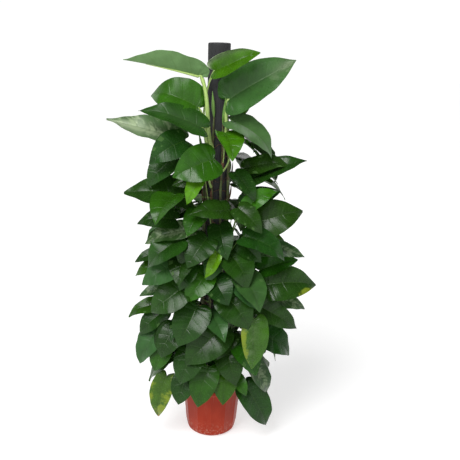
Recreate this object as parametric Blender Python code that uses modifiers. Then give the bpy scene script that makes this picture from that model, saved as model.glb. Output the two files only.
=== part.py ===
"""Potted pothos trained up a moss pole.

A fluted nursery pot holds soil and an upright pole: an inner pipe, a coir
wrap and a net sleeve.  Vines climb the pole and carry heart-shaped leaves on
long petioles.  Metres, +Z up, origin at the centre of the pot's flat base.
"""
import math

import bmesh
import bpy
from mathutils import Quaternion, Vector
from mathutils.bvhtree import BVHTree

# ---------------------------------------------------------------- sizes (m)
PLANT_HEIGHT = 1.40          # floor to the top of the pole sleeve
FOLIAGE_REACH = 0.30         # pole axis to the usual leaf tips at the sides
POT_RIM_RADIUS = 0.112
POT_BASE_RADIUS = 0.092
POT_HEIGHT = 0.200
POT_WALL = 0.0026
POT_FLOOR = 0.0045
POT_CORNER = 0.016           # rounding between wall and flat base
RIM_ROLL = 0.0035            # how far the rim stands out from the wall
RIM_BAND = 0.016
PANELS = 12                  # flat panels round the pot
DRAIN_COUNT = 6
DRAIN_RADIUS = 0.0055
DRAIN_INSET = 0.008          # drain notches stand this far inside the base edge
DRAIN_RING = POT_BASE_RADIUS - DRAIN_INSET
DRAIN_START = 53.0           # degrees, first drain notch
SOIL_SUNK = 0.024            # rim to the top of the soil
SOIL_TOP = POT_HEIGHT - SOIL_SUNK
SOIL_DISH = 0.005            # how far the soil dips toward the wall
PIPE_RADIUS = 0.0165
PIPE_WALL = 0.0022
SLEEVE_RADIUS = 0.0365
SLEEVE_WALL = 0.0012
COIR_CLEAR = 0.0008          # gap between the fibre wrap and the sleeve
COIR_RADIUS = SLEEVE_RADIUS - SLEEVE_WALL - COIR_CLEAR
SLEEVE_ROUND = 0.0045
SLEEVE_FOOT = 0.020          # sleeve starts this high inside the pot
STEM_RADIUS = 0.0042
STEM_SWELL = 0.0010          # extra radius at the nodes of a vine
STEM_STEP = 0.075            # spacing of the nodes
PETIOLE_FOOT = 0.0024        # radius where a usual petiole leaves the vine
PETIOLE_NECK = 0.0016        # radius where it meets the blade
USUAL_LEAF = 0.165           # blade length that goes with those radii
BLADE_THICK = 0.0013
CLEAR = 0.0003               # gap between neighbouring pieces
STEM_CLEAR = 0.0006          # gap between a vine and the pole sleeve
SOCKET_CLEAR = 0.0007        # gap round a vine where it enters the soil
SOCKET_DEPTH = 0.016
PETIOLE_GAP = 0.0003         # gap between a petiole foot and its vine
ROOM_WANTED = 0.0014         # free space looked for round a leaf
ROOM_NEEDED = 0.0004         # free space a leaf must have
CM = 0.01
NOMINAL_HEIGHT = 1.40
NOMINAL_REACH = 0.30

# vine: bearing in degrees (270 faces the front), height of its tip in cm
VINES = [
    (250.0, 118.0), (292.0, 116.0), (332.0, 112.0), (12.0, 104.0), (52.0, 108.0),
    (92.0, 100.0), (132.0, 106.0), (172.0, 103.0), (211.0, 110.0),
]

# Leaves set by hand, in cm: blade base, blade tip, the way the upper face
# looks, width over length, fold (degrees), tone, own piece or joined to vine.
LEAVES = [
    ((-5.6, -7.5, 130.6), (-30, -8, 134.6), (0, 0.22, 0.97), 0.53, 32, "pale", 1),
    ((-1.5, -7, 132), (12, -10, 138.8), (0.2, -0.75, 0.6), 0.60, 26, "fresh", 1),
    ((3, -5.5, 123), (24.5, -5, 135.5), (-0.2, -0.75, 0.6), 0.60, 18, "dark", 1),
    ((-6, -8, 120.6), (-21.5, -4, 127), (-0.05, -0.85, 0.5), 0.78, 10, "fresh", 1),
    ((-4.5, -12, 115), (-24.5, -13, 121.2), (-0.1, -0.6, 0.75), 0.46, 14, "dark", 1),
    ((-12, -7, 110.5), (-36, -6, 116.3), (0, -0.6, 0.8), 0.42, 14, "silver", 1),
    ((4.5, -6, 116.5), (18.5, -9, 106), (0.35, -0.5, 0.8), 0.62, 8, "pale", 1),
    ((2.5, -8.5, 113), (5, -17.5, 106.5), (0.15, -0.65, 0.75), 0.90, 12, "fresh", 1),
    ((-0.8, -12.5, 105.2), (-13.8, -17, 100.3), (-0.1, -0.85, 0.5), 0.85, 6, "bright", 1),
    ((-9, -8, 91.5), (-30.5, -9, 93.5), (0, -0.65, 0.75), 0.62, 10, "dark", 1),
    ((-13, -10, 91), (-19, -20, 84.5), (-0.2, -0.55, 0.8), 0.90, 14, "bright", 1),
    ((-5.5, -13, 101), (-10.5, -17.5, 92), (-0.3, -0.9, 0.3), 0.52, 10, "young", 1),
    ((4.5, -12, 88.5), (-8.5, -18, 89.5), (0, -0.6, 0.8), 0.60, 8, "dark", 1),
    ((10, -5, 97), (29.3, -6, 105), (0, -0.6, 0.8), 0.46, 18, "dark", 1),
    ((9.5, -11, 89), (20, -9, 95), (0.1, -0.75, 0.6), 0.50, 12, "fresh", 1),
    ((12.5, -9, 83), (29.3, -7, 87.5), (0.05, -0.85, 0.5), 0.74, 8, "dark", 1),
    ((14.5, -6, 73.5), (31.4, -5, 71), (0.1, -0.6, 0.8), 0.45, 14, "silver", 1),
    ((9.5, -13, 80), (23, -15, 72.5), (0.2, -0.65, 0.75), 0.62, 12, "dark", 1),
    ((-8, -11, 81.5), (-24, -10, 76), (-0.1, -0.6, 0.8), 0.45, 14, "silver", 1),
    ((-11.5, -12, 78.5), (-23, -15, 70), (-0.2, -0.7, 0.7), 0.80, 8, "dark", 1),
    ((-12, -12, 70), (-24.5, -14, 62.5), (-0.15, -0.7, 0.7), 0.75, 8, "pale", 1),
    ((-10.5, -13, 61.5), (-21.8, -15, 53), (-0.15, -0.8, 0.6), 0.80, 6, "dark", 1),
    ((-5.5, -12, 54.5), (-12, -18.5, 42), (-0.1, -0.85, 0.5), 0.82, 6, "dark", 1),
    ((1, -13.5, 74.5), (-3.5, -16, 66), (-0.3, -0.9, 0.3), 0.45, 20, "young", 1),
    ((-2.5, -11, 66.5), (-9.5, -15.5, 57), (-0.1, -0.85, 0.5), 0.75, 8, "bright", 1),
    ((-2.5, -12, 79), (-9, -18, 70.5), (-0.1, -0.75, 0.65), 0.82, 8, "dark", 1),
    ((5, -11, 73), (11.5, -17, 62.8), (0.1, -0.8, 0.6), 0.85, 8, "dark", 1),
    ((8.5, -12, 63), (15, -16.5, 55.5), (0.2, -0.8, 0.6), 0.75, 8, "pale", 1),
    ((4, -12, 58.5), (12.5, -17.5, 48.5), (0.1, -0.85, 0.5), 0.85, 6, "dark", 1),
    ((17.5, -8, 61), (36, -6, 60.8), (0.05, -0.85, 0.55), 0.68, 8, "dark", 1),
    ((15.5, -6, 65.5), (28.7, -5, 69.6), (0, -0.7, 0.7), 0.60, 12, "bright", 1),
    ((18.5, -7, 54.5), (33, -5, 51.5), (0.1, -0.65, 0.75), 0.46, 14, "silver", 1),
    ((14.5, -10, 54), (28.5, -8, 43.7), (0.3, -0.6, 0.75), 0.50, 12, "dark", 1),
    ((17, -8, 42), (28.5, -7, 34), (0.3, -0.6, 0.75), 0.80, 6, "dark", 1),
    ((14, -13.5, 50.7), (13.6, -17.2, 33.2), (0.12, -0.95, 0.25), 0.54, 13, "turning", 1),
    ((3, -12, 46.5), (-9.5, -17.5, 34.5), (0, -0.85, 0.5), 0.75, 6, "dark", 1),
    ((-19.5, -8, 43), (-26.5, -11, 31), (-0.4, -0.7, 0.6), 0.70, 10, "pale", 1),
    ((-13, -12, 46.5), (-18, -16.5, 36.5), (-0.2, -0.8, 0.6), 0.90, 6, "dark", 1),
    ((-6.5, -12, 38), (-11.5, -17, 26.5), (-0.2, -0.8, 0.55), 0.80, 8, "dark", 1),
    ((-16.2, -10, 25.5), (-19.8, -11, 8.5), (-0.3, -0.9, 0.2), 0.50, 8, "yellow", 1),
    ((-9, -11, 27), (-12, -15, 17), (-0.2, -0.8, 0.5), 0.80, 8, "dark", 1),
    ((-1.5, -13, 31.5), (-5, -17.5, 17.5), (-0.05, -0.9, 0.45), 0.66, 6, "bright", 1),
    ((5, -12, 37.5), (8.5, -17.5, 26.8), (0.1, -0.85, 0.5), 0.82, 6, "dark", 1),
    ((12, -10, 22.5), (20.8, -11, 6.5), (0.35, -0.8, 0.45), 0.60, 10, "dark", 1),
    ((13.5, -11, 33), (21.5, -10, 19.5), (0.35, -0.7, 0.6), 0.50, 12, "silver", 1),
    ((4.5, -12, 30), (4, -17, 18.5), (0.1, -0.9, 0.4), 0.75, 8, "bright", 1),
    ((-10, -9, 110), (-21, -13, 102.5), (-0.1, -0.7, 0.7), 0.72, 8, "dark", 0),
    ((-14, -8, 104.5), (-22.5, -11, 95.5), (-0.2, -0.8, 0.55), 0.70, 10, "dark", 0),
    ((9.5, -3, 99.5), (25, -4, 103.5), (0, -0.6, 0.8), 0.50, 14, "dark", 0),
    ((9, -6, 89), (20.5, -6, 95.5), (0, -0.7, 0.7), 0.62, 8, "dark", 0),
    ((5, -5, 112.5), (9.5, -11, 116), (0.2, -0.7, 0.7), 0.70, 10, "dark", 0),
    ((5.5, -2.5, 118), (10, -2.5, 121.5), (0, -0.7, 0.7), 0.55, 10, "fresh", 0),
    ((-5, -12, 88), (-10, -17.5, 81.5), (-0.2, -0.8, 0.6), 0.80, 8, "bright", 0),
    ((-13, -8, 83), (-26.3, -8, 81.8), (-0.1, -0.7, 0.7), 0.60, 8, "dark", 0),
    ((15, -1, 75.5), (25, 0, 74.3), (0.1, -0.5, 0.85), 0.60, 8, "fresh", 0),
    ((-16, -5, 71), (-27.8, -6, 67.8), (-0.1, -0.6, 0.8), 0.50, 10, "dark", 0),
    ((-17, -6, 66.5), (-28, -6, 63), (-0.1, -0.6, 0.8), 0.55, 10, "fresh", 0),
    ((-16, -7, 59), (-26, -8, 55.8), (-0.1, -0.6, 0.8), 0.48, 10, "silver", 0),
    ((-18, -6, 52), (-30.5, -7, 47.9), (-0.1, -0.6, 0.8), 0.50, 12, "bright", 0),
    ((-17, -7, 50), (-27, -8, 42), (-0.2, -0.7, 0.7), 0.65, 8, "dark", 0),
    ((0, -12, 64.5), (5, -18, 57.5), (0, -0.8, 0.6), 0.95, 6, "dark", 0),
    ((7, -10, 43.5), (0.5, -15.5, 36.5), (0, -0.8, 0.6), 0.65, 8, "dark", 0),
    ((-16.5, -11, 39), (-20.5, -13.5, 29.5), (-0.2, -0.8, 0.6), 0.75, 8, "bright", 0),
    ((9, -13, 28), (12.5, -16, 22), (0.2, -0.85, 0.4), 0.62, 8, "fresh", 0),
    ((-5, -8, 99), (-14, -12, 96), (-0.2, -0.7, 0.7), 0.70, 8, "dark", 0),
    ((6, -8, 100), (13, -13, 92), (0.3, -0.7, 0.6), 0.60, 8, "dark", 0),
    ((11, -4, 46), (20, -4, 39), (0.5, -0.5, 0.6), 0.70, 8, "dark", 0),
    ((6, -9, 86), (14, -13, 79), (0.3, -0.7, 0.6), 0.70, 8, "dark", 0),
    ((8, -8, 77), (16, -13, 69), (0.3, -0.7, 0.6), 0.70, 8, "dark", 0),
    ((-7, -8, 66.5), (-14, -13, 57.5), (-0.2, -0.7, 0.6), 0.75, 8, "dark", 0),
    ((-7, -8, 75), (-13.5, -12, 66.5), (-0.2, -0.7, 0.6), 0.75, 8, "dark", 0),
]

# how far the midrib bows upward, as a share of the length, leaf by leaf
ARCH = 0.07
ARCHES = {1: 0.015, 2: 0.03, 3: 0.03, 4: 0.12, 5: 0.04, 6: 0.03, 7: 0.13, 14: 0.03, 17: 0.03}

# leaves on stouter petioles, and petioles that start lower on the vine (m)
STOUT = {1: 1.9, 2: 1.9, 3: 1.5, 4: 1.4}
LOW = {1: 0.17, 2: 0.20, 3: 0.08, 4: 0.08, 5: 0.05, 7: 0.10, 8: 0.07, 12: 0.12, 13: 0.09,
       14: 0.17, 15: 0.13, 16: 0.12, 18: 0.09, 26: 0.06, 49: 0.12, 50: 0.14, 51: 0.08,
       52: 0.08, 65: 0.10, 66: 0.13}
SHORTER_HOLDS = (1.0, 0.5, 0.0)   # shares of those lengths tried where room is short
FRONT = 270.0                # bearing of the plant's front
BARE_FRONT = 52.0            # degrees each side of it with no filled-in leaf
BARE_ABOVE = 84.0            # cm, from this height up

# Leaves filled in by rule round the rest of the pole, as outer and inner
# rows: lowest base and step in cm, blade length, pole axis to blade base in
# metres, degrees off the vine's bearing, dip of the blade in degrees, and
# the degrees each side of the front that the row leaves free.
FILL_ROWS = [
    (27.0, 11.5, 0.155, 0.112, 17.0, 34.0, 0.0),
    (31.0, 12.5, 0.125, 0.076, 27.0, 50.0, 0.0),
    (33.5, 13.0, 0.110, 0.056, 12.0, 58.0, 0.0),
    (24.0, 9.5, 0.150, 0.138, 6.0, 46.0, 80.0),
    (29.5, 11.0, 0.135, 0.098, 30.0, 18.0, 80.0),
]

TONES = {
    "dark": (0.030, 0.085, 0.028),
    "bright": (0.045, 0.135, 0.030),
    "fresh": (0.075, 0.200, 0.020),
    "young": (0.150, 0.270, 0.030),
    "pale": (0.090, 0.170, 0.075),
    "silver": (0.130, 0.180, 0.110),
    "turning": (0.190, 0.270, 0.050),
    "yellow": (0.180, 0.220, 0.050),
}


# ------------------------------------------------------------------- layout
def bearing(degrees):
    angle = math.radians(degrees)
    return Vector((math.cos(angle), math.sin(angle), 0.0))


def unit_wave(number):
    """Repeatable value from -1 to 1 for an item number."""
    return math.sin(number * 12.9898 + 4.137) * math.cos(number * 3.731 + 1.9)


# -------------------------------------------------------------------- vines
def vine_point(vine, height):
    """Centre of a vine at a height; it hugs the sleeve and sways a little."""
    angle, _ = VINES[vine]
    free = max(0.0, min(1.0, (height - SOIL_TOP) / 0.25))
    sway = 3.0 * free * math.sin(height * 17.0 + vine * 2.1)
    reach = SLEEVE_RADIUS + STEM_CLEAR + STEM_RADIUS + STEM_SWELL
    point = bearing(angle + sway) * reach
    point.z = height
    return point


def vine_foot():
    return SOIL_TOP - SOCKET_DEPTH + CLEAR


def vine_top(vine):
    return VINES[vine][1] * CM * PLANT_HEIGHT / NOMINAL_HEIGHT


def vine_mesh(vine):
    """Six-sided stem, a little thicker at every node."""
    foot = vine_foot()
    top = vine_top(vine)
    gaps = max(4, round((top - foot) / STEM_STEP))
    sides = 6
    verts = []
    faces = []
    for ring in range(gaps + 1):
        height = foot + (top - foot) * ring / gaps
        centre = vine_point(vine, height)
        swell = STEM_SWELL if ring % 2 and height > SOIL_TOP + STEM_SWELL else 0.0
        radius = (STEM_RADIUS + swell) * (0.6 if ring == gaps else 1.0)
        for i in range(sides):
            angle = math.tau * i / sides
            offset = Vector((math.cos(angle), math.sin(angle), 0.0)) * radius
            verts.append(centre + offset)
    for ring in range(gaps):
        for i in range(sides):
            j = (i + 1) % sides
            low = ring * sides
            high = low + sides
            faces.append((low + i, low + j, high + j, high + i))
    faces.append(tuple(reversed(range(sides))))
    faces.append(tuple(range(gaps * sides, gaps * sides + sides)))
    return verts, faces


STEM_TREES = []              # one search tree per bare vine, in order


# ------------------------------------------------------------------- leaves
class Leaf:
    """One leaf: where its blade starts and ends and how it is held."""

    def __init__(self, base, tip, face, width, fold, tone, arch=ARCH):
        self.base = Vector(base)
        self.tip = Vector(tip)
        self.face = Vector(face).normalized()
        self.width = width
        self.fold = math.radians(fold)
        self.tone = tone
        self.arch = arch
        self.stout = 1.0
        self.low = 0.0

    def frame(self):
        axis = (self.tip - self.base).normalized()
        normal = (self.face - axis * self.face.dot(axis)).normalized()
        left = normal.cross(axis)
        return axis, normal, left, (self.tip - self.base).length


def changed(leaf, scale, lift, roll, swing, tilt):
    """A leaf moved slightly: shrunk, lifted, rolled, swung sideways, tilted."""
    axis, normal, left, length = leaf.frame()
    turn = Quaternion(normal, math.radians(swing)) @ Quaternion(left, math.radians(-tilt))
    new_axis = turn @ axis
    new_face = Quaternion(new_axis, math.radians(roll)) @ (turn @ normal)
    base = leaf.base + normal * lift
    made = Leaf(base, base + new_axis * length * scale, new_face, leaf.width, 0.0,
                leaf.tone, leaf.arch)
    made.fold = leaf.fold
    made.stout = leaf.stout
    made.low = leaf.low
    return made


def thickness(leaf, length):
    """Long blades sit on stouter petioles."""
    return leaf.stout * max(0.8, min(1.7, length / USUAL_LEAF)) ** 1.4


def cross_directions(slope, left, normal):
    """Two directions square to a petiole's own, the first one by its blade."""
    side = left - slope * left.dot(slope)
    if side.length < 0.25:
        side = normal.cross(slope)
    side.normalize()
    return side, slope.cross(side)


def distance_to_vine(vine, start, out, slope, leaf, radius):
    """How far a petiole foot can move inward before it meets its vine."""
    axis, normal, left, length = leaf.frame()
    side, up = cross_directions(slope, left, normal)
    corners = [side * radius, up * radius, -side * radius, -up * radius]
    free = []
    for k, corner in enumerate(corners):
        for share in (0.0, 0.25, 0.5, 0.75):
            place = start + corner.lerp(corners[k - 1], share) + out * 0.03
            hit = STEM_TREES[vine].ray_cast(place, -out)[0]
            if hit is not None:
                free.append((place - hit).length - 0.03)
    return min(free, default=0.0)


def petiole_curve(leaf, vine, drop, bow, inside):
    """Four Bezier points from the vine to the blade base."""
    axis, normal, left, length = leaf.frame()
    reach = (leaf.base.xy.to_3d() - vine_point(vine, leaf.base.z).xy.to_3d()).length
    height = leaf.base.z - drop * (0.35 * reach + 0.045) - leaf.low
    height = max(SOIL_TOP + 0.012, min(height, vine_top(vine) - 0.012))
    centre = vine_point(vine, height)
    out = centre.copy()
    out.z = 0.0
    out.normalize()
    toward = leaf.base - centre
    toward.z = 0.0
    if toward.length > 0.001:
        out = (out * 1.2 + toward.normalized()).normalized()
    rise = Vector((0.0, 0.0, 1.0))
    side = out.cross(rise)
    leave = (out + rise * (0.45 + 12.0 * leaf.low)).normalized()
    aim = (leave * (leaf.base - centre).length * 0.38 + side * bow).normalized()
    lean = math.sqrt(max(0.0, 1.0 - aim.dot(out) ** 2))
    start = centre + out * (STEM_RADIUS * 0.35)
    if not inside:
        hit = STEM_TREES[vine].ray_cast(centre + out * 0.03, -out)[0]
        foot = PETIOLE_FOOT * thickness(leaf, length)
        start = hit + out * (PETIOLE_GAP + foot * lean)
        start -= out * (distance_to_vine(vine, start, out, aim, leaf, foot) - PETIOLE_GAP)
    arrive = (axis * 0.55 + normal * 0.55 + rise * 0.35).normalized()
    span = (leaf.base - start).length
    p1 = start + leave * span * 0.38 + side * bow
    p2 = leaf.base - arrive * span * 0.32 + side * bow * 0.5
    return start, p1, p2, leaf.base.copy()


def bezier(points, t):
    p0, p1, p2, p3 = points
    s = 1.0 - t
    place = p0 * s ** 3 + p1 * 3 * s * s * t + p2 * 3 * s * t * t + p3 * t ** 3
    slope = (p1 - p0) * s * s + (p2 - p1) * 2 * s * t + (p3 - p2) * t * t
    return place, slope.normalized()


# blade outline: distance along the midrib, half width, both as fractions
OUTLINE = [(-0.10, 0.44), (0.0, 0.85), (0.27, 1.0), (0.57, 0.85), (0.83, 0.44)]
OUTLINE_SIMPLE = [(-0.08, 0.55), (0.18, 1.0), (0.64, 0.74)]
MIDRIB = [0.03, 0.08, 0.28, 0.57, 0.83]
MIDRIB_SIMPLE = [0.03, 0.21, 0.64]


def leaf_mesh(leaf, curve, simple, extra):
    """Closed loft: four-point rings up the petiole and along the blade.

    Without a curve only the blade is made, to try whether it has room.
    """
    axis, normal, left, length = leaf.frame()
    rings = []
    stout = thickness(leaf, length)
    stops = (0.0, 0.35, 0.72) if simple else (0.0, 0.22, 0.50, 0.78)
    if curve is None:
        stops = ()
    for t in stops:
        place, slope = bezier(curve, t)
        side, up = cross_directions(slope, left, normal)
        radius = (PETIOLE_FOOT + (PETIOLE_NECK - PETIOLE_FOOT) * t) * stout + extra
        rings.append([place + side * radius, place + up * radius,
                      place - side * radius, place - up * radius])
    neck = PETIOLE_NECK * stout + extra
    thick = BLADE_THICK / 2 + extra
    place = leaf.base
    rings.append([place + left * neck, place + normal * thick * 1.4,
                  place - left * neck, place - normal * neck])
    outline = OUTLINE_SIMPLE if simple else OUTLINE
    midrib = MIDRIB_SIMPLE if simple else MIDRIB
    half = leaf.width * length / 2 + extra
    for (along, wide), middle in zip(outline, midrib):
        rib = leaf.base + axis * length * middle
        rib += normal * length * leaf.arch * 4 * middle * (1 - middle)
        edge = leaf.base + axis * length * along
        edge += normal * length * leaf.arch * 4 * along * (1 - along)
        spread = left * half * wide * math.cos(leaf.fold)
        raise_edge = normal * half * wide * math.sin(leaf.fold)
        rings.append([edge + spread + raise_edge, rib + normal * thick,
                      edge - spread + raise_edge, rib - normal * thick])
    verts = [point for ring in rings for point in ring]
    tip = len(verts)
    verts.append(leaf.tip + axis * extra)
    faces = [(0, 3, 2), (0, 2, 1)]
    for ring in range(len(rings) - 1):
        a = ring * 4
        b = a + 4
        faces.extend([(a, a + 1, b + 1), (a, b + 1, b)])
        faces.extend([(a + 2, b + 1, a + 1), (a + 2, b + 2, b + 1)])
        faces.extend([(a + 2, a + 3, b + 3), (a + 2, b + 3, b + 2)])
        faces.extend([(a, b + 3, a + 3), (a, b, b + 3)])
    last = (len(rings) - 1) * 4
    faces.extend([(last, last + 1, tip), (last + 1, last + 2, tip)])
    faces.extend([(last + 2, last + 3, tip), (last + 3, last, tip)])
    return verts, faces


def turned(profile, sides):
    """Closed surface of a profile that starts and ends on the axis."""
    verts = []
    faces = []
    inner = profile[1:-1]
    for radius, height in inner:
        for i in range(sides):
            angle = math.tau * i / sides
            verts.append(Vector((math.cos(angle) * radius, math.sin(angle) * radius, height)))
    low = len(verts)
    verts.append(Vector((0.0, 0.0, profile[0][1])))
    verts.append(Vector((0.0, 0.0, profile[-1][1])))
    last = (len(inner) - 1) * sides
    for i in range(sides):
        j = (i + 1) % sides
        faces.append((low, j, i))
        faces.append((low + 1, last + i, last + j))
        for ring in range(0, last, sides):
            faces.append((ring + i, ring + j, ring + sides + j, ring + sides + i))
    return verts, faces


def envelopes():
    """Plain outlines of the potted soil and of the pole, for the layout."""
    spare = CLEAR
    pot = [
        (0.0, 0.0),
        (POT_BASE_RADIUS + spare, 0.0),
        (POT_RIM_RADIUS - RIM_ROLL + spare, POT_HEIGHT - RIM_BAND),
        (POT_RIM_RADIUS + spare, POT_HEIGHT - RIM_BAND),
        (POT_RIM_RADIUS + spare, POT_HEIGHT + spare),
        (POT_RIM_RADIUS - RIM_ROLL - POT_WALL - spare, POT_HEIGHT + spare),
        (POT_RIM_RADIUS - RIM_ROLL - POT_WALL - spare, SOIL_TOP + spare),
        (0.0, SOIL_TOP + spare),
    ]
    pole = [
        (0.0, SOIL_TOP - SOCKET_DEPTH),
        (SLEEVE_RADIUS + spare, SOIL_TOP - SOCKET_DEPTH),
        (SLEEVE_RADIUS + spare, PLANT_HEIGHT),
        (0.0, PLANT_HEIGHT),
    ]
    return ("pot", turned(pot, 48)), ("pole", turned(pole, 24))


def bounds_of(verts):
    low = Vector([min(v[i] for v in verts) for i in range(3)])
    high = Vector([max(v[i] for v in verts) for i in range(3)])
    return low, high


def apart(one, other):
    low_a, high_a = one
    low_b, high_b = other
    for i in range(3):
        if low_a[i] > high_b[i] or low_b[i] > high_a[i]:
            return True
    return False


def is_free(verts, faces, skip, placed):
    box = bounds_of(verts)
    tree = None
    for label, other_box, other_tree in placed:
        if label == skip or apart(box, other_box):
            continue
        if tree is None:
            tree = BVHTree.FromPolygons(verts, faces, epsilon=0.0)
        if tree.overlap(other_tree):
            return False
    return True


def remember(label, verts, faces, placed):
    tree = BVHTree.FromPolygons(verts, faces, epsilon=0.0)
    placed.append((label, bounds_of(verts), tree))


def variations(kind):
    """Ways to nudge a leaf, mildest first."""
    if kind == "wide":
        scales = (1.0, 0.85, 0.7)
        lifts = (0.0, 0.03, -0.03, 0.06, 0.09)
        rolls = (0, 26, -26)
        swings = (0, 18, -18, 34, -34)
    elif kind == "full":
        scales = (1.0, 0.94, 0.87, 0.78)
        lifts = (0.0, 0.007, -0.007, 0.014, 0.024, 0.036, 0.050)
        rolls = (0, 9, -9, 18, -18)
        swings = (0, 6, -6, 12)
    else:
        scales = (1.0, 0.88)
        lifts = (0.0, 0.012)
        rolls = (0, 14, -14)
        swings = (0, 12, -12)
    tilts = (0, 7, -7)
    ways = []
    for scale in scales:
        for lift in lifts:
            for roll in rolls:
                for swing in swings:
                    for tilt in tilts:
                        cost = (1 - scale) * 14 + abs(lift) * 120 + abs(roll) / 12
                        cost += abs(swing) / 9 + abs(tilt) / 9
                        ways.append((cost, scale, lift, roll, swing, tilt))
    ways.sort(key=lambda way: way[0])
    return ways


# how far down the vine a petiole starts, and its sideways bow in metres
HOLDS = [(1.0, 0.0), (1.0, 0.018), (1.0, -0.018), (0.6, 0.0), (1.5, 0.0), (1.2, 0.036),
         (1.2, -0.036), (2.1, 0.0), (0.3, 0.0), (1.9, 0.030), (1.9, -0.030)]


def nearest_vines(point):
    """Vines in order of how close their bearing is to a point."""
    flat = Vector((point.x, point.y, 0.0)).normalized()
    rank = []
    for vine in range(len(VINES)):
        if vine_top(vine) > point.z - 0.16:
            rank.append((-flat.dot(bearing(VINES[vine][0])), vine))
    rank.sort()
    return [vine for _, vine in rank[:3]]


def place_leaf(leaf, own, simple, ways, rooms, placed):
    """First way of holding the leaf that touches nothing already placed."""
    for room in rooms:
        for way in ways:
            _, scale, lift, roll, swing, tilt = way
            trial = changed(leaf, scale, lift, roll, swing, tilt)
            verts, faces = leaf_mesh(trial, None, simple, room)
            if not is_free(verts, faces, None, placed):
                continue
            for vine in nearest_vines(trial.base):
                stem = "vine_%d" % vine
                for drop, bow in HOLDS:
                    curve = petiole_curve(trial, vine, drop, bow, not own)
                    verts, faces = leaf_mesh(trial, curve, simple, room)
                    if not is_free(verts, faces, stem, placed):
                        continue
                    if own:
                        verts, faces = leaf_mesh(trial, curve, simple, PETIOLE_GAP * 0.6)
                        if not is_free(verts, faces, None, placed):
                            continue
                    return trial, vine, curve
    return None


def hand_leaves():
    wide = CM * FOLIAGE_REACH / NOMINAL_REACH
    tall = CM * PLANT_HEIGHT / NOMINAL_HEIGHT
    for index, (base, tip, face, width, fold, tone, own) in enumerate(LEAVES):
        start = (base[0] * wide, base[1] * wide, base[2] * tall)
        end = (tip[0] * wide, tip[1] * wide, tip[2] * tall)
        arch = ARCHES.get(index + 1, ARCH)
        leaf = Leaf(start, end, face, width, fold, tone, arch)
        leaf.stout = STOUT.get(index + 1, 1.0)
        leaf.low = LOW.get(index + 1, 0.0) * PLANT_HEIGHT / NOMINAL_HEIGHT
        yield leaf, bool(own)


def rule_leaves():
    """Leaves round the sides and back, one above the other on each vine."""
    grow = FOLIAGE_REACH / NOMINAL_REACH
    tall = PLANT_HEIGHT / NOMINAL_HEIGHT
    number = 0
    for start, step, usual, foot, spread, lean, clear in FILL_ROWS:
        for vine, (angle, top) in enumerate(VINES):
            height = start + 1.9 * (vine % 4)
            turn = 1
            while height < top + 4.0:
                number += 1
                wave = unit_wave(number)
                wave2 = unit_wave(number + 57)
                side = angle + turn * (spread + 6.0 * wave)
                base = bearing(side) * (foot + 0.026 * wave2) * grow
                base.z = height * CM * tall
                length = (usual + 0.018 * wave) * grow
                dip = math.radians(lean + 20.0 * wave2)
                out = bearing(side + turn * 16.0)
                run = out * math.cos(dip) + Vector((0, 0, -math.sin(dip)))
                face = bearing(side) * 0.6 + Vector((0, 0, 0.8))
                tone = ("dark", "bright", "dark", "pale", "dark", "fresh")[number % 6]
                width = 0.70 + 0.10 * wave2
                off_front = abs((side - FRONT + 180.0) % 360.0 - 180.0)
                bare = off_front <= BARE_FRONT and height >= BARE_ABOVE
                if off_front >= clear and not bare:
                    yield Leaf(base, base + run * length, face, width, 8.0, tone)
                height += step + 1.5 * wave
                turn = -turn


def grow_leaves():
    """Lay out every leaf: hand-set ones first, then the fill."""
    placed = []
    for label, (verts, faces) in envelopes():
        remember(label, verts, faces, placed)
    for vine in range(len(VINES)):
        verts, faces = vine_mesh(vine)
        remember("vine_%d" % vine, verts, faces, placed)
        STEM_TREES.append(placed[-1][2])
    laid = []
    full = variations("full")
    wide = variations("wide")
    short = variations("short")
    for index, (leaf, own) in enumerate(hand_leaves()):
        found = place_leaf(leaf, own, not own, full, (ROOM_WANTED, ROOM_NEEDED), placed)
        long_hold = leaf.low
        for share in SHORTER_HOLDS:
            if found is None and own:
                leaf.low = long_hold * share
                found = place_leaf(leaf, own, False, wide, (ROOM_NEEDED,), placed)
        if found is None:
            continue
        trial, vine, curve = found
        verts, faces = leaf_mesh(trial, curve, not own, 0.0)
        remember("leaf_%02d" % (index + 1), verts, faces, placed)
        laid.append((index + 1, own, trial, vine, curve))
    number = len(LEAVES)
    for leaf in rule_leaves():
        number += 1
        found = place_leaf(leaf, False, True, short, (ROOM_NEEDED,), placed)
        if found is None:
            continue
        trial, vine, curve = found
        verts, faces = leaf_mesh(trial, curve, True, 0.0)
        remember("leaf_%d" % number, verts, faces, placed)
        laid.append((number, False, trial, vine, curve))
    return laid


# ------------------------------------------------------------------ helpers
def wipe():
    for thing in list(bpy.data.objects):
        bpy.data.objects.remove(thing, do_unlink=True)


def material(name, colour, roughness, metallic=0.0):
    made = bpy.data.materials.new(name)
    made.use_nodes = True
    shader = made.node_tree.nodes["Principled BSDF"]
    shader.inputs["Base Color"].default_value = (*colour, 1.0)
    shader.inputs["Roughness"].default_value = roughness
    shader.inputs["Metallic"].default_value = metallic
    made.diffuse_color = (*colour, 1.0)
    return made


def add_object(name, verts, faces, colour, roughness, smooth=False, home=None):
    mesh = bpy.data.meshes.new(name)
    mesh.from_pydata([tuple(v) for v in verts], [], faces)
    work = bmesh.new()
    work.from_mesh(mesh)
    bmesh.ops.recalc_face_normals(work, faces=work.faces)
    work.to_mesh(mesh)
    work.free()
    thing = bpy.data.objects.new(name, mesh)
    (home or PLANT).objects.link(thing)
    mesh.materials.append(material(name, colour, roughness))
    for face in mesh.polygons:
        face.use_smooth = smooth
    return thing


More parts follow.
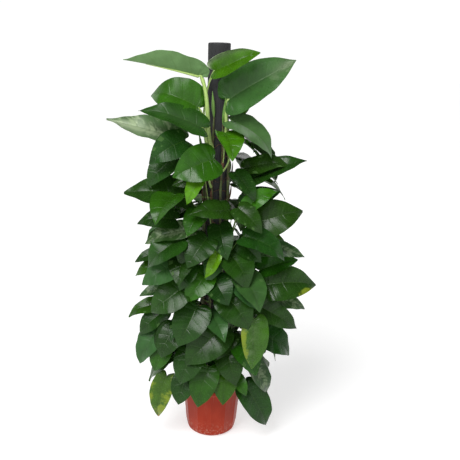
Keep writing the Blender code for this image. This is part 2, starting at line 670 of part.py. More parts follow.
def lathe(name, profile, steps, closed, colour, roughness, smooth=True):
    """Turn a radius/height profile about the upright axis."""
    mesh = bpy.data.meshes.new(name)
    count = len(profile)
    edges = [(i, i + 1) for i in range(count - 1)]
    if closed:
        edges.append((count - 1, 0))
    mesh.from_pydata([(r, 0.0, z) for r, z in profile], edges, [])
    thing = bpy.data.objects.new(name, mesh)
    PLANT.objects.link(thing)
    turn = thing.modifiers.new("turn", "SCREW")
    turn.axis = "Z"
    turn.angle = math.tau
    turn.steps = steps
    turn.render_steps = steps
    turn.use_merge_vertices = True
    turn.merge_threshold = 0.00001
    turn.use_normal_calculate = True
    turn.use_normal_flip = closed
    turn.use_smooth_shade = smooth
    mesh.materials.append(material(name, colour, roughness))
    return thing


def cut(thing, cutter):
    """Subtract the cutter and keep it hidden beside the plant."""
    cutter.hide_render = True
    cutter.display_type = "WIRE"
    take = thing.modifiers.new("cut", "BOOLEAN")
    take.operation = "DIFFERENCE"
    take.solver = "EXACT"
    take.object = cutter


def join_meshes(pieces):
    verts = []
    faces = []
    for some_verts, some_faces in pieces:
        start = len(verts)
        verts.extend(some_verts)
        faces.extend([tuple(i + start for i in face) for face in some_faces])
    return verts, faces


def rod(start, end, radius, sides, turn=0.0):
    """Straight closed rod as vertices and faces."""
    along = (end - start).normalized()
    side = along.orthogonal().normalized()
    up = along.cross(side)
    verts = []
    for centre in (start, end):
        for i in range(sides):
            angle = math.tau * i / sides + turn
            verts.append(centre + (side * math.cos(angle) + up * math.sin(angle)) * radius)
    faces = [tuple(reversed(range(sides))), tuple(range(sides, 2 * sides))]
    for i in range(sides):
        j = (i + 1) % sides
        faces.append((i, j, sides + j, sides + i))
    return verts, faces


# ---------------------------------------------------------------- the parts
def pot_outer(height):
    """Outer wall radius at a height."""
    share = height / POT_HEIGHT
    return POT_BASE_RADIUS + (POT_RIM_RADIUS - RIM_ROLL - POT_BASE_RADIUS) * share


def make_pot():
    inner_low = pot_outer(POT_FLOOR) - POT_WALL - POT_CORNER * 0.6
    band = POT_HEIGHT - RIM_BAND
    profile = [
        (0.0, 0.0),
        (POT_BASE_RADIUS - POT_CORNER, 0.0),
        (POT_BASE_RADIUS - POT_CORNER * 0.35, POT_CORNER * 0.30),
        (pot_outer(POT_CORNER), POT_CORNER),
        (pot_outer(band), band),
        (POT_RIM_RADIUS, band + RIM_ROLL * 0.8),
        (POT_RIM_RADIUS, POT_HEIGHT - POT_WALL * 0.3),
        (POT_RIM_RADIUS - POT_WALL * 0.3, POT_HEIGHT),
        (POT_RIM_RADIUS - RIM_ROLL - POT_WALL, POT_HEIGHT),
        (pot_outer(band) - POT_WALL, band),
        (pot_outer(POT_CORNER + POT_FLOOR) - POT_WALL, POT_CORNER + POT_FLOOR),
        (inner_low, POT_FLOOR),
        (0.0, POT_FLOOR),
    ]
    pot = lathe("pot", profile, PANELS * 3, False, (0.30, 0.045, 0.022), 0.42)
    rods = []
    for i in range(DRAIN_COUNT):
        out = bearing(DRAIN_START + 360.0 * i / DRAIN_COUNT)
        start = out * (DRAIN_RING - 0.012) + Vector((0, 0, 0.016))
        end = out * (DRAIN_RING + 0.014) + Vector((0, 0, -0.008))
        rods.append(rod(start, end, DRAIN_RADIUS, 8, 0.2))
    verts, faces = join_meshes(rods)
    cutter = add_object("drain_cutter", verts, faces, (0.5, 0.5, 0.5), 0.5, home=CUTTERS)
    cut(pot, cutter)
    return pot


def make_soil():
    """Soil ring: fills the pot round the sleeve, with a socket per vine."""
    inner = SLEEVE_RADIUS + CLEAR
    floor = POT_FLOOR + CLEAR
    corner = POT_CORNER + POT_FLOOR + CLEAR
    wall = POT_WALL + CLEAR * 3
    profile = [
        (inner, floor),
        (pot_outer(POT_FLOOR) - wall - POT_CORNER * 0.62, floor),
        (pot_outer(corner) - wall, corner),
        (pot_outer(SOIL_TOP - SOIL_DISH) - wall, SOIL_TOP - SOIL_DISH),
        (pot_outer(SOIL_TOP) * 0.80, SOIL_TOP - SOIL_DISH * 0.2),
        (SLEEVE_RADIUS + 0.022, SOIL_TOP),
        (inner, SOIL_TOP),
    ]
    soil = lathe("soil", profile, 24, True, (0.045, 0.030, 0.020), 0.95)
    rods = []
    for vine in range(len(VINES)):
        low = vine_point(vine, SOIL_TOP - SOCKET_DEPTH)
        high = low + Vector((0, 0, SOCKET_DEPTH * 2))
        rods.append(rod(low, high, STEM_RADIUS + STEM_SWELL * 0.4 + SOCKET_CLEAR, 8))
    verts, faces = join_meshes(rods)
    cutter = add_object("socket_cutter", verts, faces, (0.5, 0.5, 0.5), 0.5, home=CUTTERS)
    cut(soil, cutter)
    return soil


def make_pole():
    top = PLANT_HEIGHT
    pipe_top = top - SLEEVE_WALL - 0.006
    pipe = [
        (PIPE_RADIUS - PIPE_WALL, POT_FLOOR + CLEAR),
        (PIPE_RADIUS, POT_FLOOR + CLEAR),
        (PIPE_RADIUS, pipe_top),
        (PIPE_RADIUS - PIPE_WALL, pipe_top),
    ]
    lathe("pole_pipe", pipe, 16, True, (0.20, 0.20, 0.19), 0.5)
    coir_top = top - SLEEVE_WALL - CLEAR
    coir = [
        (PIPE_RADIUS + CLEAR, SLEEVE_FOOT + 0.002),
        (COIR_RADIUS, SLEEVE_FOOT + 0.002),
        (COIR_RADIUS, coir_top - SLEEVE_ROUND),
        (COIR_RADIUS - SLEEVE_ROUND, coir_top),
        (PIPE_RADIUS + CLEAR, coir_top),
    ]
    lathe("coir_wrap", coir, 20, True, (0.060, 0.045, 0.032), 0.95)
    inner = SLEEVE_RADIUS - SLEEVE_WALL
    sleeve = [
        (0.0, top - SLEEVE_WALL),
        (inner - SLEEVE_ROUND, top - SLEEVE_WALL),
        (inner, top - SLEEVE_WALL - SLEEVE_ROUND),
        (inner, SLEEVE_FOOT),
        (SLEEVE_RADIUS, SLEEVE_FOOT),
        (SLEEVE_RADIUS, top - SLEEVE_ROUND),
        (SLEEVE_RADIUS - SLEEVE_ROUND * 0.3, top - SLEEVE_ROUND * 0.3),
        (SLEEVE_RADIUS - SLEEVE_ROUND, top),
        (0.0, top),
    ]
    lathe("net_sleeve", sleeve, 24, False, (0.018, 0.018, 0.020), 0.85)


def fuse(vine, leaves):
    """One stem with its joined leaves, united into a single body."""
    verts, faces = vine_mesh(vine)
    name = "vine_%d" % (vine + 1)
    stem = add_object(name, verts, faces, (0.085, 0.150, 0.035), 0.5, smooth=False)
    if leaves:
        pieces = [leaf_mesh(leaf, curve, True, 0.0) for leaf, curve in leaves]
        verts, faces = join_meshes(pieces)
        cutter = add_object("joined_leaves_%d" % (vine + 1), verts, faces,
                            (0.035, 0.095, 0.030), 0.4, home=CUTTERS)
        cutter.hide_render = True
        cutter.display_type = "WIRE"
        unite = stem.modifiers.new("unite", "BOOLEAN")
        unite.operation = "UNION"
        unite.solver = "EXACT"
        unite.object = cutter
    return stem


def main():
    make_pot()
    make_soil()
    make_pole()
    laid = grow_leaves()
    joined = {vine: [] for vine in range(len(VINES))}
    for number, own, leaf, vine, curve in laid:
        if own:
            verts, faces = leaf_mesh(leaf, curve, False, 0.0)
            add_object("leaf_%02d" % number, verts, faces, TONES[leaf.tone], 0.35)
        else:
            joined[vine].append((leaf, curve))
    for vine, leaves in joined.items():
        fuse(vine, leaves)
    print("leaves laid", len(laid))


wipe()
PLANT = bpy.data.collections.new("potted_pothos")
CUTTERS = bpy.data.collections.new("cutters")
bpy.context.scene.collection.children.link(PLANT)
bpy.context.scene.collection.children.link(CUTTERS)
main()
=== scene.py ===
"""Looks of a potted pothos trained up a net-covered pole.

The layout below repeats the one that the solids were made from, with its
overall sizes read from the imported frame.  Each leaf and vine is then grown
again in fine detail in the same place.
"""

import math

import bmesh
import bpy
import numpy as np
from mathutils import Matrix, Quaternion, Vector, noise
from mathutils.bvhtree import BVHTree


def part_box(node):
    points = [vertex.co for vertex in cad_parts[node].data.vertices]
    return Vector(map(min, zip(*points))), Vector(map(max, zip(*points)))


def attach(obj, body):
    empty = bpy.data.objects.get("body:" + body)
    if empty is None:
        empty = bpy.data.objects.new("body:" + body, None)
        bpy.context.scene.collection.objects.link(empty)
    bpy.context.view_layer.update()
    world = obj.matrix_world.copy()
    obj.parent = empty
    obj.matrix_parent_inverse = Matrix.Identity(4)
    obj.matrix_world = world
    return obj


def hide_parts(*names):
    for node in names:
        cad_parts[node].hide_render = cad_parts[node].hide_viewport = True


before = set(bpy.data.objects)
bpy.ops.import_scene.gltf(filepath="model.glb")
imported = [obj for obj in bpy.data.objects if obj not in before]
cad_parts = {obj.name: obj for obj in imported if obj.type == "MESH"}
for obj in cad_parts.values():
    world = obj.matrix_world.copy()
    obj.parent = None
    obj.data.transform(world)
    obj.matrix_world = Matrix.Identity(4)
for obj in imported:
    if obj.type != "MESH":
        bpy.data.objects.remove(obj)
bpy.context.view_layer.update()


def reach_of(node, axis):
    """Highest value of a node's box along an axis, to a tenth of a millimetre."""
    return round(float(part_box(node)[1][axis]), 4)


# ---------------------------------------------------------------- sizes (m)
PLANT_HEIGHT = reach_of("net_sleeve", 2)   # floor to the top of the pole sleeve
FOLIAGE_REACH = 0.30         # pole axis to the usual leaf tips at the sides
POT_RIM_RADIUS = reach_of("pot", 0)
POT_BASE_RADIUS = 0.092
POT_HEIGHT = reach_of("pot", 2)
POT_WALL = 0.0026
POT_FLOOR = 0.0045
POT_CORNER = 0.016           # rounding between wall and flat base
RIM_ROLL = 0.0035            # how far the rim stands out from the wall
RIM_BAND = 0.016
PANELS = 12                  # flat panels round the pot
DRAIN_COUNT = 6
DRAIN_RADIUS = 0.0055
DRAIN_INSET = 0.008          # drain notches stand this far inside the base edge
DRAIN_RING = POT_BASE_RADIUS - DRAIN_INSET
DRAIN_START = 53.0           # degrees, first drain notch
SOIL_SUNK = 0.024            # rim to the top of the soil
SOIL_TOP = POT_HEIGHT - SOIL_SUNK
SOIL_DISH = 0.005            # how far the soil dips toward the wall
SLEEVE_RADIUS = reach_of("net_sleeve", 0)
SLEEVE_ROUND = 0.0045
STEM_RADIUS = 0.0042
STEM_SWELL = 0.0010          # extra radius at the nodes of a vine
STEM_STEP = 0.075            # spacing of the nodes
PETIOLE_FOOT = 0.0024        # radius where a usual petiole leaves the vine
PETIOLE_NECK = 0.0016        # radius where it meets the blade
USUAL_LEAF = 0.165           # blade length that goes with those radii
BLADE_THICK = 0.0013
CLEAR = 0.0003               # gap between neighbouring pieces
STEM_CLEAR = 0.0006          # gap between a vine and the pole sleeve
SOCKET_DEPTH = 0.016
PETIOLE_GAP = 0.0003         # gap between a petiole foot and its vine
ROOM_WANTED = 0.0014         # free space looked for round a leaf
ROOM_NEEDED = 0.0004         # free space a leaf must have
CM = 0.01
NOMINAL_HEIGHT = 1.40
NOMINAL_REACH = 0.30

# vine: bearing in degrees (270 faces the front), height of its tip in cm
VINES = [
    (250.0, 118.0), (292.0, 116.0), (332.0, 112.0), (12.0, 104.0), (52.0, 108.0),
    (92.0, 100.0), (132.0, 106.0), (172.0, 103.0), (211.0, 110.0),
]

# Leaves listed one by one, in cm: blade base, blade tip, the way the upper face
# looks, width over length, fold (degrees), tone, own piece or joined to vine.
LEAVES = [
    ((-5.6, -7.5, 130.6), (-30, -8, 134.6), (0, 0.22, 0.97), 0.53, 32, "pale", 1),
    ((-1.5, -7, 132), (12, -10, 138.8), (0.2, -0.75, 0.6), 0.60, 26, "fresh", 1),
    ((3, -5.5, 123), (24.5, -5, 135.5), (-0.2, -0.75, 0.6), 0.60, 18, "dark", 1),
    ((-6, -8, 120.6), (-21.5, -4, 127), (-0.05, -0.85, 0.5), 0.78, 10, "fresh", 1),
    ((-4.5, -12, 115), (-24.5, -13, 121.2), (-0.1, -0.6, 0.75), 0.46, 14, "dark", 1),
    ((-12, -7, 110.5), (-36, -6, 116.3), (0, -0.6, 0.8), 0.42, 14, "silver", 1),
    ((4.5, -6, 116.5), (18.5, -9, 106), (0.35, -0.5, 0.8), 0.62, 8, "pale", 1),
    ((2.5, -8.5, 113), (5, -17.5, 106.5), (0.15, -0.65, 0.75), 0.90, 12, "fresh", 1),
    ((-0.8, -12.5, 105.2), (-13.8, -17, 100.3), (-0.1, -0.85, 0.5), 0.85, 6, "bright", 1),
    ((-9, -8, 91.5), (-30.5, -9, 93.5), (0, -0.65, 0.75), 0.62, 10, "dark", 1),
    ((-13, -10, 91), (-19, -20, 84.5), (-0.2, -0.55, 0.8), 0.90, 14, "bright", 1),
    ((-5.5, -13, 101), (-10.5, -17.5, 92), (-0.3, -0.9, 0.3), 0.52, 10, "young", 1),
    ((4.5, -12, 88.5), (-8.5, -18, 89.5), (0, -0.6, 0.8), 0.60, 8, "dark", 1),
    ((10, -5, 97), (29.3, -6, 105), (0, -0.6, 0.8), 0.46, 18, "dark", 1),
    ((9.5, -11, 89), (20, -9, 95), (0.1, -0.75, 0.6), 0.50, 12, "fresh", 1),
    ((12.5, -9, 83), (29.3, -7, 87.5), (0.05, -0.85, 0.5), 0.74, 8, "dark", 1),
    ((14.5, -6, 73.5), (31.4, -5, 71), (0.1, -0.6, 0.8), 0.45, 14, "silver", 1),
    ((9.5, -13, 80), (23, -15, 72.5), (0.2, -0.65, 0.75), 0.62, 12, "dark", 1),
    ((-8, -11, 81.5), (-24, -10, 76), (-0.1, -0.6, 0.8), 0.45, 14, "silver", 1),
    ((-11.5, -12, 78.5), (-23, -15, 70), (-0.2, -0.7, 0.7), 0.80, 8, "dark", 1),
    ((-12, -12, 70), (-24.5, -14, 62.5), (-0.15, -0.7, 0.7), 0.75, 8, "pale", 1),
    ((-10.5, -13, 61.5), (-21.8, -15, 53), (-0.15, -0.8, 0.6), 0.80, 6, "dark", 1),
    ((-5.5, -12, 54.5), (-12, -18.5, 42), (-0.1, -0.85, 0.5), 0.82, 6, "dark", 1),
    ((1, -13.5, 74.5), (-3.5, -16, 66), (-0.3, -0.9, 0.3), 0.45, 20, "young", 1),
    ((-2.5, -11, 66.5), (-9.5, -15.5, 57), (-0.1, -0.85, 0.5), 0.75, 8, "bright", 1),
    ((-2.5, -12, 79), (-9, -18, 70.5), (-0.1, -0.75, 0.65), 0.82, 8, "dark", 1),
    ((5, -11, 73), (11.5, -17, 62.8), (0.1, -0.8, 0.6), 0.85, 8, "dark", 1),
    ((8.5, -12, 63), (15, -16.5, 55.5), (0.2, -0.8, 0.6), 0.75, 8, "pale", 1),
    ((4, -12, 58.5), (12.5, -17.5, 48.5), (0.1, -0.85, 0.5), 0.85, 6, "dark", 1),
    ((17.5, -8, 61), (36, -6, 60.8), (0.05, -0.85, 0.55), 0.68, 8, "dark", 1),
    ((15.5, -6, 65.5), (28.7, -5, 69.6), (0, -0.7, 0.7), 0.60, 12, "bright", 1),
    ((18.5, -7, 54.5), (33, -5, 51.5), (0.1, -0.65, 0.75), 0.46, 14, "silver", 1),
    ((14.5, -10, 54), (28.5, -8, 43.7), (0.3, -0.6, 0.75), 0.50, 12, "dark", 1),
    ((17, -8, 42), (28.5, -7, 34), (0.3, -0.6, 0.75), 0.80, 6, "dark", 1),
    ((14, -13.5, 50.7), (13.6, -17.2, 33.2), (0.12, -0.95, 0.25), 0.54, 13, "turning", 1),
    ((3, -12, 46.5), (-9.5, -17.5, 34.5), (0, -0.85, 0.5), 0.75, 6, "dark", 1),
    ((-19.5, -8, 43), (-26.5, -11, 31), (-0.4, -0.7, 0.6), 0.70, 10, "pale", 1),
    ((-13, -12, 46.5), (-18, -16.5, 36.5), (-0.2, -0.8, 0.6), 0.90, 6, "dark", 1),
    ((-6.5, -12, 38), (-11.5, -17, 26.5), (-0.2, -0.8, 0.55), 0.80, 8, "dark", 1),
    ((-16.2, -10, 25.5), (-19.8, -11, 8.5), (-0.3, -0.9, 0.2), 0.50, 8, "yellow", 1),
    ((-9, -11, 27), (-12, -15, 17), (-0.2, -0.8, 0.5), 0.80, 8, "dark", 1),
    ((-1.5, -13, 31.5), (-5, -17.5, 17.5), (-0.05, -0.9, 0.45), 0.66, 6, "bright", 1),
    ((5, -12, 37.5), (8.5, -17.5, 26.8), (0.1, -0.85, 0.5), 0.82, 6, "dark", 1),
    ((12, -10, 22.5), (20.8, -11, 6.5), (0.35, -0.8, 0.45), 0.60, 10, "dark", 1),
    ((13.5, -11, 33), (21.5, -10, 19.5), (0.35, -0.7, 0.6), 0.50, 12, "silver", 1),
    ((4.5, -12, 30), (4, -17, 18.5), (0.1, -0.9, 0.4), 0.75, 8, "bright", 1),
    ((-10, -9, 110), (-21, -13, 102.5), (-0.1, -0.7, 0.7), 0.72, 8, "dark", 0),
    ((-14, -8, 104.5), (-22.5, -11, 95.5), (-0.2, -0.8, 0.55), 0.70, 10, "dark", 0),
    ((9.5, -3, 99.5), (25, -4, 103.5), (0, -0.6, 0.8), 0.50, 14, "dark", 0),
    ((9, -6, 89), (20.5, -6, 95.5), (0, -0.7, 0.7), 0.62, 8, "dark", 0),
    ((5, -5, 112.5), (9.5, -11, 116), (0.2, -0.7, 0.7), 0.70, 10, "dark", 0),
    ((5.5, -2.5, 118), (10, -2.5, 121.5), (0, -0.7, 0.7), 0.55, 10, "fresh", 0),
    ((-5, -12, 88), (-10, -17.5, 81.5), (-0.2, -0.8, 0.6), 0.80, 8, "bright", 0),
    ((-13, -8, 83), (-26.3, -8, 81.8), (-0.1, -0.7, 0.7), 0.60, 8, "dark", 0),
    ((15, -1, 75.5), (25, 0, 74.3), (0.1, -0.5, 0.85), 0.60, 8, "fresh", 0),
    ((-16, -5, 71), (-27.8, -6, 67.8), (-0.1, -0.6, 0.8), 0.50, 10, "dark", 0),
    ((-17, -6, 66.5), (-28, -6, 63), (-0.1, -0.6, 0.8), 0.55, 10, "fresh", 0),
    ((-16, -7, 59), (-26, -8, 55.8), (-0.1, -0.6, 0.8), 0.48, 10, "silver", 0),
    ((-18, -6, 52), (-30.5, -7, 47.9), (-0.1, -0.6, 0.8), 0.50, 12, "bright", 0),
    ((-17, -7, 50), (-27, -8, 42), (-0.2, -0.7, 0.7), 0.65, 8, "dark", 0),
    ((0, -12, 64.5), (5, -18, 57.5), (0, -0.8, 0.6), 0.95, 6, "dark", 0),
    ((7, -10, 43.5), (0.5, -15.5, 36.5), (0, -0.8, 0.6), 0.65, 8, "dark", 0),
    ((-16.5, -11, 39), (-20.5, -13.5, 29.5), (-0.2, -0.8, 0.6), 0.75, 8, "bright", 0),
    ((9, -13, 28), (12.5, -16, 22), (0.2, -0.85, 0.4), 0.62, 8, "fresh", 0),
    ((-5, -8, 99), (-14, -12, 96), (-0.2, -0.7, 0.7), 0.70, 8, "dark", 0),
    ((6, -8, 100), (13, -13, 92), (0.3, -0.7, 0.6), 0.60, 8, "dark", 0),
    ((11, -4, 46), (20, -4, 39), (0.5, -0.5, 0.6), 0.70, 8, "dark", 0),
    ((6, -9, 86), (14, -13, 79), (0.3, -0.7, 0.6), 0.70, 8, "dark", 0),
    ((8, -8, 77), (16, -13, 69), (0.3, -0.7, 0.6), 0.70, 8, "dark", 0),
    ((-7, -8, 66.5), (-14, -13, 57.5), (-0.2, -0.7, 0.6), 0.75, 8, "dark", 0),
    ((-7, -8, 75), (-13.5, -12, 66.5), (-0.2, -0.7, 0.6), 0.75, 8, "dark", 0),
]

# how far the midrib bows upward, as a share of the length, leaf by leaf
ARCH = 0.07
ARCHES = {1: 0.015, 2: 0.03, 3: 0.03, 4: 0.12, 5: 0.04, 6: 0.03, 7: 0.13, 14: 0.03, 17: 0.03}

# leaves on stouter petioles, and petioles that start lower on the vine (m)
STOUT = {1: 1.9, 2: 1.9, 3: 1.5, 4: 1.4}
LOW = {1: 0.17, 2: 0.20, 3: 0.08, 4: 0.08, 5: 0.05, 7: 0.10, 8: 0.07, 12: 0.12, 13: 0.09,
       14: 0.17, 15: 0.13, 16: 0.12, 18: 0.09, 26: 0.06, 49: 0.12, 50: 0.14, 51: 0.08,
       52: 0.08, 65: 0.10, 66: 0.13}
SHORTER_HOLDS = (1.0, 0.5, 0.0)   # shares of those lengths tried where room is short
FRONT = 270.0                # bearing of the plant's front
BARE_FRONT = 52.0            # degrees each side of it with no filled-in leaf
BARE_ABOVE = 84.0            # cm, from this height up

# Leaves filled in by rule round the rest of the pole, as outer and inner
# rows: lowest base and step in cm, blade length, pole axis to blade base in
# metres, degrees off the vine's bearing, dip of the blade in degrees, and
# the degrees each side of the front that the row leaves free.
FILL_ROWS = [
    (27.0, 11.5, 0.155, 0.112, 17.0, 34.0, 0.0),
    (31.0, 12.5, 0.125, 0.076, 27.0, 50.0, 0.0),
    (33.5, 13.0, 0.110, 0.056, 12.0, 58.0, 0.0),
    (24.0, 9.5, 0.150, 0.138, 6.0, 46.0, 80.0),
    (29.5, 11.0, 0.135, 0.098, 30.0, 18.0, 80.0),
]


# ------------------------------------------------------------------- layout
def bearing(degrees):
    angle = math.radians(degrees)
    return Vector((math.cos(angle), math.sin(angle), 0.0))


def unit_wave(number):
    """Repeatable value from -1 to 1 for an item number."""
    return math.sin(number * 12.9898 + 4.137) * math.cos(number * 3.731 + 1.9)


# -------------------------------------------------------------------- vines
def vine_point(vine, height):
    """Centre of a vine at a height; it hugs the sleeve and sways a little."""
    angle, _ = VINES[vine]
    free = max(0.0, min(1.0, (height - SOIL_TOP) / 0.25))
    sway = 3.0 * free * math.sin(height * 17.0 + vine * 2.1)
    reach = SLEEVE_RADIUS + STEM_CLEAR + STEM_RADIUS + STEM_SWELL
    point = bearing(angle + sway) * reach
    point.z = height
    return point


def vine_foot():
    return SOIL_TOP - SOCKET_DEPTH + CLEAR


def vine_top(vine):
    return VINES[vine][1] * CM * PLANT_HEIGHT / NOMINAL_HEIGHT


def vine_mesh(vine):
    """Six-sided stem, a little thicker at every node."""
    foot = vine_foot()
    top = vine_top(vine)
    gaps = max(4, round((top - foot) / STEM_STEP))
    sides = 6
    verts = []
    faces = []
    for ring in range(gaps + 1):
        height = foot + (top - foot) * ring / gaps
        centre = vine_point(vine, height)
        swell = STEM_SWELL if ring % 2 and height > SOIL_TOP + STEM_SWELL else 0.0
        radius = (STEM_RADIUS + swell) * (0.6 if ring == gaps else 1.0)
        for i in range(sides):
            angle = math.tau * i / sides
            offset = Vector((math.cos(angle), math.sin(angle), 0.0)) * radius
            verts.append(centre + offset)
    for ring in range(gaps):
        for i in range(sides):
            j = (i + 1) % sides
            low = ring * sides
            high = low + sides
            faces.append((low + i, low + j, high + j, high + i))
    faces.append(tuple(reversed(range(sides))))
    faces.append(tuple(range(gaps * sides, gaps * sides + sides)))
    return verts, faces


STEM_TREES = []              # one search tree per bare vine, in order


# ------------------------------------------------------------------- leaves
class Leaf:
    """One leaf: where its blade starts and ends and how it is held."""

    def __init__(self, base, tip, face, width, fold, tone, arch=ARCH):
        self.base = Vector(base)
        self.tip = Vector(tip)
        self.face = Vector(face).normalized()
        self.width = width
        self.fold = math.radians(fold)
        self.tone = tone
        self.arch = arch
        self.stout = 1.0
        self.low = 0.0

    def frame(self):
        axis = (self.tip - self.base).normalized()
        normal = (self.face - axis * self.face.dot(axis)).normalized()
        left = normal.cross(axis)
        return axis, normal, left, (self.tip - self.base).length


def changed(leaf, scale, lift, roll, swing, tilt):
    """A leaf moved slightly: shrunk, lifted, rolled, swung sideways, tilted."""
    axis, normal, left, length = leaf.frame()
    turn = Quaternion(normal, math.radians(swing)) @ Quaternion(left, math.radians(-tilt))
    new_axis = turn @ axis
    new_face = Quaternion(new_axis, math.radians(roll)) @ (turn @ normal)
    base = leaf.base + normal * lift
    made = Leaf(base, base + new_axis * length * scale, new_face, leaf.width, 0.0,
                leaf.tone, leaf.arch)
    made.fold = leaf.fold
    made.stout = leaf.stout
    made.low = leaf.low
    return made


def thickness(leaf, length):
    """Long blades sit on stouter petioles."""
    return leaf.stout * max(0.8, min(1.7, length / USUAL_LEAF)) ** 1.4


def cross_directions(slope, left, normal):
    """Two directions square to a petiole's own, the first one by its blade."""
    side = left - slope * left.dot(slope)
    if side.length < 0.25:
        side = normal.cross(slope)
    side.normalize()
    return side, slope.cross(side)


def distance_to_vine(vine, start, out, slope, leaf, radius):
    """How far a petiole foot can move inward before it meets its vine."""
    _, normal, left, _ = leaf.frame()
    side, up = cross_directions(slope, left, normal)
    corners = [side * radius, up * radius, -side * radius, -up * radius]
    free = []
    for k, corner in enumerate(corners):
        for share in (0.0, 0.25, 0.5, 0.75):
            place = start + corner.lerp(corners[k - 1], share) + out * 0.03
            hit = STEM_TREES[vine].ray_cast(place, -out)[0]
            if hit is not None:
                free.append((place - hit).length - 0.03)
    return min(free, default=0.0)


def petiole_curve(leaf, vine, drop, bow, inside):
    """Four Bezier points from the vine to the blade base."""
    axis, normal, _, length = leaf.frame()
    reach = (leaf.base.xy.to_3d() - vine_point(vine, leaf.base.z).xy.to_3d()).length
    height = leaf.base.z - drop * (0.35 * reach + 0.045) - leaf.low
    height = max(SOIL_TOP + 0.012, min(height, vine_top(vine) - 0.012))
    centre = vine_point(vine, height)
    out = centre.copy()
    out.z = 0.0
    out.normalize()
    toward = leaf.base - centre
    toward.z = 0.0
    if toward.length > 0.001:
        out = (out * 1.2 + toward.normalized()).normalized()
    rise = Vector((0.0, 0.0, 1.0))
    side = out.cross(rise)
    leave = (out + rise * (0.45 + 12.0 * leaf.low)).normalized()
    aim = (leave * (leaf.base - centre).length * 0.38 + side * bow).normalized()
    lean = math.sqrt(max(0.0, 1.0 - aim.dot(out) ** 2))
    start = centre + out * (STEM_RADIUS * 0.35)
    if not inside:
        hit = STEM_TREES[vine].ray_cast(centre + out * 0.03, -out)[0]
        foot = PETIOLE_FOOT * thickness(leaf, length)
        start = hit + out * (PETIOLE_GAP + foot * lean)
        start -= out * (distance_to_vine(vine, start, out, aim, leaf, foot) - PETIOLE_GAP)
    arrive = (axis * 0.55 + normal * 0.55 + rise * 0.35).normalized()
    span = (leaf.base - start).length
    p1 = start + leave * span * 0.38 + side * bow
    p2 = leaf.base - arrive * span * 0.32 + side * bow * 0.5
    return start, p1, p2, leaf.base.copy()


def bezier(points, t):
    """Place and direction on a curve of four points."""
    p0, p1, p2, p3 = points
    s = 1.0 - t
    place = p0 * s ** 3 + p1 * 3 * s * s * t + p2 * 3 * s * t * t + p3 * t ** 3
    slope = (p1 - p0) * s * s + (p2 - p1) * 2 * s * t + (p3 - p2) * t * t
    return place, slope.normalized()


# blade outline: distance along the midrib, half width, both as fractions
OUTLINE = [(-0.10, 0.44), (0.0, 0.85), (0.27, 1.0), (0.57, 0.85), (0.83, 0.44)]
OUTLINE_SIMPLE = [(-0.08, 0.55), (0.18, 1.0), (0.64, 0.74)]
MIDRIB = [0.03, 0.08, 0.28, 0.57, 0.83]
MIDRIB_SIMPLE = [0.03, 0.21, 0.64]


def leaf_mesh(leaf, curve, simple, extra):
    """Closed loft: four-point rings up the petiole and along the blade.

    Without a curve only the blade is made, to try whether it has room.
    """
    axis, normal, left, length = leaf.frame()
    rings = []
    stout = thickness(leaf, length)
    stops = (0.0, 0.35, 0.72) if simple else (0.0, 0.22, 0.50, 0.78)
    if curve is None:
        stops = ()
    for t in stops:
        place, slope = bezier(curve, t)
        side, up = cross_directions(slope, left, normal)
        radius = (PETIOLE_FOOT + (PETIOLE_NECK - PETIOLE_FOOT) * t) * stout + extra
        rings.append([place + side * radius, place + up * radius,
                      place - side * radius, place - up * radius])
    neck = PETIOLE_NECK * stout + extra
    thick = BLADE_THICK / 2 + extra
    place = leaf.base
    rings.append([place + left * neck, place + normal * thick * 1.4,
                  place - left * neck, place - normal * neck])
    outline = OUTLINE_SIMPLE if simple else OUTLINE
    midrib = MIDRIB_SIMPLE if simple else MIDRIB
    half = leaf.width * length / 2 + extra
    for (along, wide), middle in zip(outline, midrib):
        rib = leaf.base + axis * length * middle
        rib += normal * length * leaf.arch * 4 * middle * (1 - middle)
        edge = leaf.base + axis * length * along
        edge += normal * length * leaf.arch * 4 * along * (1 - along)
        spread = left * half * wide * math.cos(leaf.fold)
        raise_edge = normal * half * wide * math.sin(leaf.fold)
        rings.append([edge + spread + raise_edge, rib + normal * thick,
                      edge - spread + raise_edge, rib - normal * thick])
    verts = [point for ring in rings for point in ring]
    tip = len(verts)
    verts.append(leaf.tip + axis * extra)
    faces = [(0, 3, 2), (0, 2, 1)]
    for ring in range(len(rings) - 1):
        a = ring * 4
        b = a + 4
        faces.extend([(a, a + 1, b + 1), (a, b + 1, b)])
        faces.extend([(a + 2, b + 1, a + 1), (a + 2, b + 2, b + 1)])
        faces.extend([(a + 2, a + 3, b + 3), (a + 2, b + 3, b + 2)])
        faces.extend([(a, b + 3, a + 3), (a, b, b + 3)])
    last = (len(rings) - 1) * 4
    faces.extend([(last, last + 1, tip), (last + 1, last + 2, tip)])
    faces.extend([(last + 2, last + 3, tip), (last + 3, last, tip)])
    return verts, faces


def turned(profile, sides):
    """Closed surface of a profile that starts and ends on the axis."""
    verts = []
    faces = []
    inner = profile[1:-1]
    for radius, height in inner:
        for i in range(sides):
            angle = math.tau * i / sides
            verts.append(Vector((math.cos(angle) * radius, math.sin(angle) * radius, height)))
    low = len(verts)
    verts.append(Vector((0.0, 0.0, profile[0][1])))
    verts.append(Vector((0.0, 0.0, profile[-1][1])))
    last = (len(inner) - 1) * sides
    for i in range(sides):
        j = (i + 1) % sides
        faces.append((low, j, i))
        faces.append((low + 1, last + i, last + j))
        for ring in range(0, last, sides):
            faces.append((ring + i, ring + j, ring + sides + j, ring + sides + i))
    return verts, faces


